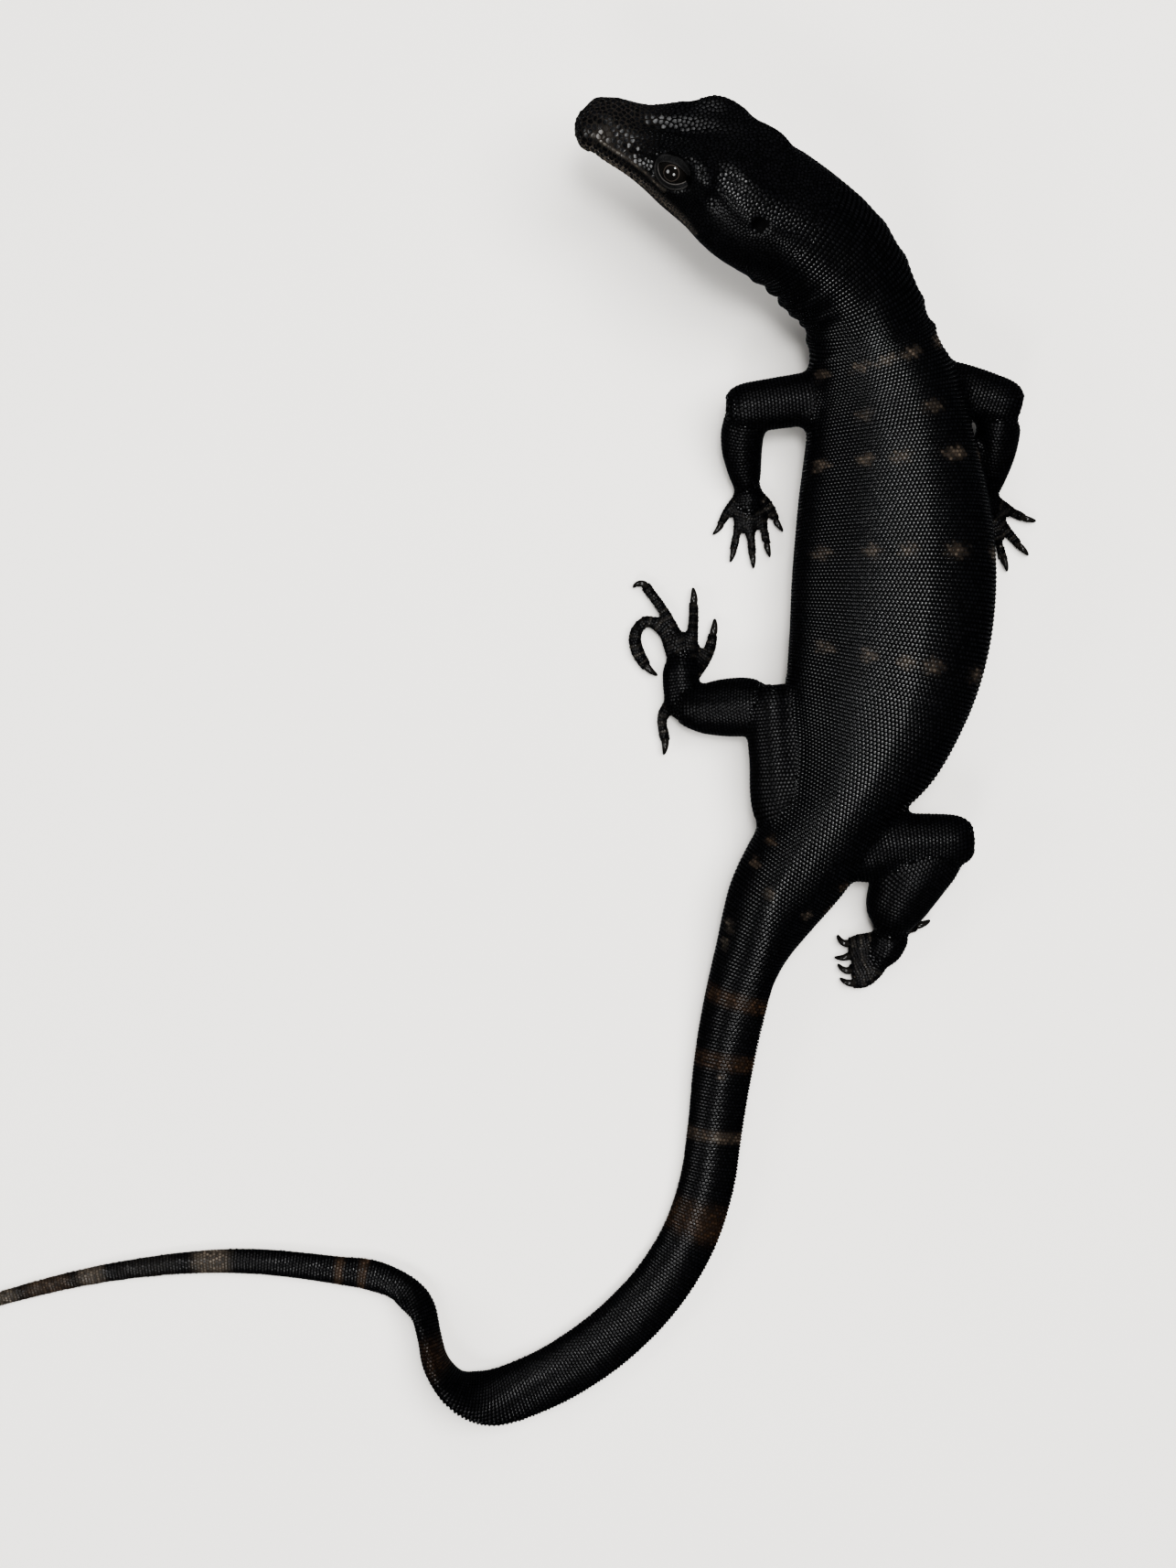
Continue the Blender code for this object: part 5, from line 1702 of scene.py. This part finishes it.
# Points of the profile painted pale as a highlight: the rim, and the crest of the second fold. Both
# highlights fade on the upper lid.
RIM_HIGHLIGHT_POINTS = (1, 2)
CREST_HIGHLIGHT_POINT = 7
CREST_HIGHLIGHT_SHARE = 0.4
UPPER_HIGHLIGHT_LEAST = 0.15
for mirror, side_name in ((1, "left"), (-1, "right")):
    grid = lid_grid(mirror)
    turns_count, profile_count, _ = grid.shape
    faces = grid_faces(turns_count, profile_count, True).tolist()
    lid = add_piece("lids_" + side_name, grid.reshape(-1, 3), faces)
    turn = np.linspace(0.0, 2 * math.pi, turns_count, endpoint=False)
    lower = np.clip(0.5 - np.sin(turn), UPPER_HIGHLIGHT_LEAST, 1.0)
    lid_highlight_share = np.zeros((turns_count, profile_count))
    lid_highlight_share[:, RIM_HIGHLIGHT_POINTS] = lower[:, None]
    lid_highlight_share[:, CREST_HIGHLIGHT_POINT] = lower * CREST_HIGHLIGHT_SHARE
    # The lids' seam share carries their painted highlight.
    layer = lid.data.attributes.new("seam", "FLOAT", "POINT")
    layer.data.foreach_set("value", lid_highlight_share.ravel())
    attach(lid, "root")
    print(lid.name, "quads:", len(lid.data.polygons))

# %% Eyeballs
EYE_RINGS = 40
EYE_SEGMENTS = 64
CORNEA_RISE = 0.00012
CORNEA_SPREAD = 0.55
BALL_UNDER_LIDS = 0.00006


def eyeball(mirror, name):
    """Ball with a soft bulge in front; its pole looks out of the opening."""
    centre, look, back, up = eye_frame(mirror)
    tilt = np.linspace(0.0, math.pi, EYE_RINGS)[:, None]
    turn = np.linspace(0.0, 2 * math.pi, EYE_SEGMENTS, endpoint=False)[None, :]
    cornea = CORNEA_RISE * np.exp(-((tilt / CORNEA_SPREAD) ** 4))
    radius = EYE_BALL_RADIUS - BALL_UNDER_LIDS + cornea + 0 * turn
    out = radius * np.cos(tilt)
    along = radius * np.sin(tilt) * np.cos(turn)
    high = radius * np.sin(tilt) * np.sin(turn)
    grid = centre + out[..., None] * look + along[..., None] * back + high[..., None] * up
    piece = add_piece(name, *tube_pieces([grid[1:-1]]))
    layer = piece.data.attributes.new("tilt", "FLOAT", "POINT")
    layer.data.foreach_set("value", np.repeat(tilt[1:-1, 0], EYE_SEGMENTS))
    return piece


eyes = {}
for mirror, side_name in ((1, "left"), (-1, "right")):
    eye = eyeball(mirror, "eyeball_" + side_name)
    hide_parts("eye_" + side_name)
    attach(eye, "root")
    eyes[side_name] = eye
print("eyeballs:", len(eyes))

# %% [markdown]
# ## Claws
# A claw is a curved horn cone, deeper than wide, with a swollen root that the last scales of the toe grip.
# The point is bent down to the floor, as it is when the animal stands on it.

# %% Claws
CLAW_RINGS = 18
CLAW_SIDES = 14
CLAW_DEEPER = 1.35
CLAW_STEPS = 7
CLAW_PLAN_SHARE = 0.84
CLAW_ROOT = 0.0003
CLAW_FADE = ((0.0, 1.05), (0.15, 1.10), (0.45, 0.85), (0.75, 0.52), (0.95, 0.20), (1.0, 0.08))
claws = []
for limb in LIMBS:
    kind_name, side_name = limb.split("_")
    for number in range(1, 6):
        tube = TUBES[limb + "_toe_" + str(number)]
        path = tube["points"]
        ahead = headings(path, run_of(path)[-1:])[0]
        base = path[-1] - ahead * CLAW_ROOT
        length = CLAW_LENGTH[kind_name] + CLAW_ROOT
        steps = np.linspace(0.0, 1.0, CLAW_STEPS)
        way = math.atan2(ahead[1], ahead[0]) + math.radians(CLAW_HOOKS[limb][number - 1]) * steps
        plan = np.column_stack([np.cos(way), np.sin(way)])[1:] * length * CLAW_PLAN_SHARE / (CLAW_STEPS - 1)
        bend = np.column_stack([np.vstack([base[:2], base[:2] + np.cumsum(plan, axis=0)]),
                                base[2] + length * at_run(CLAW_ARCH, steps)])
        bend[-1, 2] = CLAW_POINT
        share = np.linspace(0.0, 1.0, CLAW_RINGS)
        centres = smooth_through(run_of(bend), bend, share * run_of(bend)[-1])
        side, upward = frames_along(headings(bend, share * run_of(bend)[-1]), np.zeros(CLAW_RINGS))
        radius = CLAW_RADIUS[kind_name] * at_run(CLAW_FADE, share)
        turn = np.linspace(0.0, 2 * math.pi, CLAW_SIDES, endpoint=False)
        grid = centres[:, None, :] + (side[:, None, :] * np.cos(turn)[None, :, None]
                                      + upward[:, None, :] * np.sin(turn)[None, :, None] * CLAW_DEEPER
                                      ) * radius[:, None, None]
        grid[..., 2] = np.maximum(grid[..., 2], 0.0)
        claw = add_piece("claw_" + limb + "_" + str(number), *tube_pieces([grid]))
        layer = claw.data.attributes.new("share", "FLOAT", "POINT")
        layer.data.foreach_set("value", np.repeat(share, CLAW_SIDES))
        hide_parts(kind_name + "_claw_" + side_name + "_" + str(number))
        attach(claw, "root")
        claws.append(claw)
print("claws:", len(claws))

# %% [markdown]
# ## Finishes
# Fresh black reptile skin is nearly black and quite glossy: most of what the eye sees of it is small
# highlights, one on each scale. The horn of the claws is dark and smooth, the eye is wet. Each finish
# mixes its colour from the markings carried by the mesh and from fine noise, so nothing is one flat
# colour close up.

# %% Helpers for finishes
def new_finish(name):
    """New node material, with its nodes, links and shader."""
    material = bpy.data.materials.new(name)
    material.use_nodes = True
    nodes = material.node_tree.nodes
    return material, nodes, material.node_tree.links, nodes["Principled BSDF"]


def attribute_of(nodes, name):
    """Value of an attribute of the mesh."""
    node = nodes.new("ShaderNodeAttribute")
    node.attribute_name = name
    return node.outputs["Fac"]


def noise_of(nodes, links, scale, detail=3.0):
    """Noise in object space, so that it stays on the piece."""
    place = nodes.new("ShaderNodeTexCoord")
    noise = nodes.new("ShaderNodeTexNoise")
    noise.inputs["Scale"].default_value = scale
    noise.inputs["Detail"].default_value = detail
    links.new(place.outputs["Object"], noise.inputs["Vector"])
    return noise.outputs["Fac"]


def mixed(nodes, links, share, first, second):
    """Colour mix: first and second are colours or sockets."""
    mix = nodes.new("ShaderNodeMix")
    mix.data_type = "RGBA"
    for socket, value in ((mix.inputs[0], share), (mix.inputs[6], first), (mix.inputs[7], second)):
        if isinstance(value, bpy.types.NodeSocket):
            links.new(value, socket)
        elif isinstance(value, tuple):
            socket.default_value = value + (1.0,)
        else:
            socket.default_value = value
    return mix.outputs[2]


def in_range(nodes, links, value, low, high, from_low=0.0, from_high=1.0):
    """Value carried in proportion from one range into another."""
    span = nodes.new("ShaderNodeMapRange")
    span.inputs["From Min"].default_value = from_low
    span.inputs["From Max"].default_value = from_high
    span.inputs["To Min"].default_value = low
    span.inputs["To Max"].default_value = high
    links.new(value, span.inputs["Value"])
    return span.outputs["Result"]


def bumped(nodes, links, height, shader, strength, distance):
    """Relief in the shading, from a height and the distance that it stands for."""
    bump = nodes.new("ShaderNodeBump")
    bump.inputs["Strength"].default_value = strength
    bump.inputs["Distance"].default_value = distance
    links.new(height, bump.inputs["Height"])
    links.new(bump.outputs["Normal"], shader.inputs["Normal"])


# %% Scales and skin
SCALE_BLACK = (0.0008, 0.0008, 0.0010)
SCALE_GREY = (0.0030, 0.0030, 0.0036)
PALE = (0.42, 0.37, 0.30)
BROWN = (0.16, 0.085, 0.040)
SKIN_DARK = (0.0005, 0.0005, 0.0006)
# Pale of the head's seams, which along the canthal line is a painted highlight, and pale of the lids' painted
# highlight.
SEAM_AND_HIGHLIGHT_PALE = (0.20, 0.17, 0.14)
LID_HIGHLIGHT_PALE = (0.050, 0.046, 0.043)
LID_GRANULE = 0.00030
SKIN_GLOSS = 0.08
LID_GLOSS = 0.35
# Lowest and highest roughness of scales and skin, and how much rougher and less shiny a matt scale is.
SCALE_ROUGH = (0.20, 0.30)
SKIN_ROUGH = (0.6, 0.8)
MATT_ROUGHER = 0.10
SCALE_SHINE = (0.50, 0.28)
SCALE_GRAIN = 2600.0
SKIN_GRAIN = 3800.0


def scale_finish():
    """Black glossy horn; brown, pale and matt come from the mesh, and each scale has its own tone."""
    material, nodes, links, shader = new_finish("scale_horn")
    base = mixed(nodes, links, attribute_of(nodes, "tone"), SCALE_BLACK, SCALE_GREY)
    with_brown = mixed(nodes, links, attribute_of(nodes, "brown"), base, BROWN)
    with_pale = mixed(nodes, links, attribute_of(nodes, "pale"), with_brown, PALE)
    links.new(with_pale, shader.inputs["Base Color"])
    grain = noise_of(nodes, links, SCALE_GRAIN)
    matt = attribute_of(nodes, "matt")
    rough = nodes.new("ShaderNodeMath")
    rough.operation = "MULTIPLY_ADD"
    links.new(matt, rough.inputs[0])
    rough.inputs[1].default_value = MATT_ROUGHER
    links.new(in_range(nodes, links, grain, *SCALE_ROUGH, 0.3, 0.7), rough.inputs[2])
    links.new(rough.outputs[0], shader.inputs["Roughness"])
    links.new(in_range(nodes, links, matt, *SCALE_SHINE), shader.inputs["Specular IOR Level"])
    bumped(nodes, links, grain, shader, 0.25, 0.00003)
    return material


def granules_of(nodes, links, size):
    """Height of small round granules in object space: high in the middle of each, low between them."""
    place = nodes.new("ShaderNodeTexCoord")
    cells = nodes.new("ShaderNodeTexVoronoi")
    cells.inputs["Scale"].default_value = 1 / size
    links.new(place.outputs["Object"], cells.inputs["Vector"])
    return in_range(nodes, links, cells.outputs["Distance"], 1.0, 0.0, 0.1, 0.7)


def skin_finish(name, seams, gloss, granule=None):
    """Dull dark skin with pale seams and painted highlights from its seam share, wrinkled finely or, where a
    size is given, covered in granules.
    """
    material, nodes, links, shader = new_finish(name)
    with_brown = mixed(nodes, links, attribute_of(nodes, "brown"), SKIN_DARK, BROWN)
    with_pale = mixed(nodes, links, attribute_of(nodes, "pale"), with_brown, PALE)
    with_seam_and_highlight = mixed(nodes, links, attribute_of(nodes, "seam"), with_pale, seams)
    links.new(with_seam_and_highlight, shader.inputs["Base Color"])
    wrinkle = noise_of(nodes, links, SKIN_GRAIN)
    links.new(in_range(nodes, links, wrinkle, *SKIN_ROUGH, 0.3, 0.7), shader.inputs["Roughness"])
    shader.inputs["Specular IOR Level"].default_value = gloss
    if granule:
        bumped(nodes, links, granules_of(nodes, links, granule), shader, 0.9, granule / 3)
    else:
        bumped(nodes, links, wrinkle, shader, 0.6, 0.00006)
    return material


scale_horn = scale_finish()
soft_skin = skin_finish("soft_skin", SEAM_AND_HIGHLIGHT_PALE, SKIN_GLOSS)
lid_skin = skin_finish("lid_skin", LID_HIGHLIGHT_PALE, LID_GLOSS, LID_GRANULE)
skin.data.materials.append(soft_skin)
for piece in scale_pieces:
    piece.data.materials.append(scale_horn)
for side_name in ("left", "right"):
    bpy.data.objects["lids_" + side_name].data.materials.append(lid_skin)
print("finishes so far:", scale_horn.name, soft_skin.name, lid_skin.name)

# %% Eyes and claws
PUPIL_TILT = 0.42
IRIS_TILT = 0.47
RING_SOFT = 0.02
EYE_GRAIN = 5200.0
CLAW_GRAIN = 3000.0
EYE_BLACK = (0.004, 0.0035, 0.003)
IRIS_BROWN = (0.045, 0.036, 0.030)
CLAW_DARK = (0.0030, 0.0028, 0.0026)
CLAW_PALE = (0.0100, 0.0088, 0.0076)


def eye_finish():
    """Black pupil, a thin brown ring, black again towards the lids, all of it smooth and wet."""
    material, nodes, links, shader = new_finish("wet_eye")
    tilt = attribute_of(nodes, "tilt")
    ramp = nodes.new("ShaderNodeValToRGB")
    stops = ((PUPIL_TILT, EYE_BLACK), (PUPIL_TILT + RING_SOFT, IRIS_BROWN), (IRIS_TILT, IRIS_BROWN),
             (IRIS_TILT + RING_SOFT, EYE_BLACK))
    while len(ramp.color_ramp.elements) < len(stops):
        ramp.color_ramp.elements.new(0.5)
    for element, (place, colour) in zip(ramp.color_ramp.elements, stops):
        element.position = place
        element.color = colour + (1.0,)
    links.new(tilt, ramp.inputs["Fac"])
    fleck = noise_of(nodes, links, EYE_GRAIN)
    shade = mixed(nodes, links, in_range(nodes, links, fleck, 0.0, 0.5), ramp.outputs["Color"], EYE_BLACK)
    links.new(shade, shader.inputs["Base Color"])
    links.new(in_range(nodes, links, fleck, 0.04, 0.09), shader.inputs["Roughness"])
    return material


def claw_finish():
    """Smooth horn, a little paler at the root than at the point."""
    material, nodes, links, shader = new_finish("claw_horn_fine")
    share = attribute_of(nodes, "share")
    grain = noise_of(nodes, links, CLAW_GRAIN)
    base = mixed(nodes, links, in_range(nodes, links, share, 0.0, 0.8), CLAW_PALE, CLAW_DARK)
    shade = mixed(nodes, links, in_range(nodes, links, grain, 0.0, 0.5), base, CLAW_DARK)
    links.new(shade, shader.inputs["Base Color"])
    links.new(in_range(nodes, links, grain, 0.14, 0.28), shader.inputs["Roughness"])
    bumped(nodes, links, grain, shader, 0.2, 0.00003)
    return material


wet_eye = eye_finish()
claw_fine = claw_finish()
for eye in eyes.values():
    eye.data.materials.append(wet_eye)
for claw in claws:
    claw.data.materials.append(claw_fine)
print("then:", wet_eye.name, claw_fine.name)

# %% [markdown]
# ## Floor, light and camera
# The animal lies on a plain pale floor that stays out of its reflections. The key light hangs overhead:
# being small, it puts a fine point of light on every scale. A wide dim light fills the shadows, and three
# weak ones low at the sides, a window, a lamp and a door, put points of light on the flanks. The camera
# looks straight down from the height that gave the measured view.

# %% Floor
FLOOR_SIZE = 3.0
FLOOR_DROP = 0.0001
FLOOR_SHADES = ((0.76, 0.735, 0.695), (0.82, 0.795, 0.755))
CLOUD_SCALE = 6.0
floor_points = np.array([[-1, -1, 0], [1, -1, 0], [1, 1, 0], [-1, 1, 0]]) * FLOOR_SIZE / 2
floor_points[:, 2] = -FLOOR_DROP
floor = add_piece("floor", floor_points, [[0, 1, 2, 3]])
floor_finish, nodes, links, shader = new_finish("pale_floor")
cloud_noise = noise_of(nodes, links, CLOUD_SCALE)
links.new(mixed(nodes, links, cloud_noise, *FLOOR_SHADES), shader.inputs["Base Color"])
links.new(in_range(nodes, links, cloud_noise, 0.60, 0.75), shader.inputs["Roughness"])
floor.data.materials.append(floor_finish)
# Against the white of a mirrored floor the glossy flanks would turn grey.
floor.visible_glossy = False
print("floor:", FLOOR_SIZE, "m wide")

# %% Light
AMBIENT = 0.065
BODY_MIDDLE = (0.03, 0.02, 0.01)
# Each light: place, width, power, and whether glossy surfaces mirror it.
LIGHTS = {
    "key": ((0.02, -0.06, 0.72), 0.14, 2.8, True),
    "room": ((-0.20, -0.12, 0.80), 0.70, 14.0, False),
    "window": ((0.16, 0.46, 0.52), 0.22, 1.8, True),
    "lamp": ((0.50, 0.12, 0.32), 0.24, 1.1, True),
    "door": ((0.06, -0.50, 0.46), 0.24, 0.8, True),
}


def area_light(name, place, size, power, on_gloss):
    """Round soft light aimed at the middle of the body; some light only matt surfaces."""
    light = bpy.data.lights.new(name, "AREA")
    light.shape = "DISK"
    light.size = size
    light.energy = power
    lamp = bpy.data.objects.new(name, light)
    lamp.location = place
    look = np.array(BODY_MIDDLE) - np.array(place)
    lamp.rotation_euler = (math.atan2(math.hypot(look[0], look[1]), -look[2]), 0.0,
                           math.atan2(look[1], look[0]) - math.pi / 2)
    lamp.visible_glossy = on_gloss
    bpy.context.scene.collection.objects.link(lamp)


for name, settings in LIGHTS.items():
    area_light(name, *settings)
world = bpy.data.worlds.new("soft_room")
bpy.context.scene.world = world
world.use_nodes = True
world.node_tree.nodes["Background"].inputs["Color"].default_value = (0.90, 0.95, 1.0, 1.0)
world.node_tree.nodes["Background"].inputs["Strength"].default_value = AMBIENT
bpy.context.scene.view_settings.look = "AgX - Medium High Contrast"
print("lights:", len(LIGHTS))

# %% Camera
CAMERA_PLACE = (0.0489, 0.03225, 0.379)
CAMERA_LENS = 52.0
CAMERA_SENSOR = 36.0
camera_data = bpy.data.cameras.new("camera")
camera_data.lens = CAMERA_LENS
camera_data.sensor_width = CAMERA_SENSOR
camera_data.sensor_fit = "AUTO"
camera_data.clip_start = 0.01
camera = bpy.data.objects.new("camera", camera_data)
camera.location = CAMERA_PLACE
camera.rotation_euler = (0.0, 0.0, math.pi)
bpy.context.scene.collection.objects.link(camera)
bpy.context.scene.camera = camera
print("camera height:", round(CAMERA_PLACE[2] * 1000), "mm")
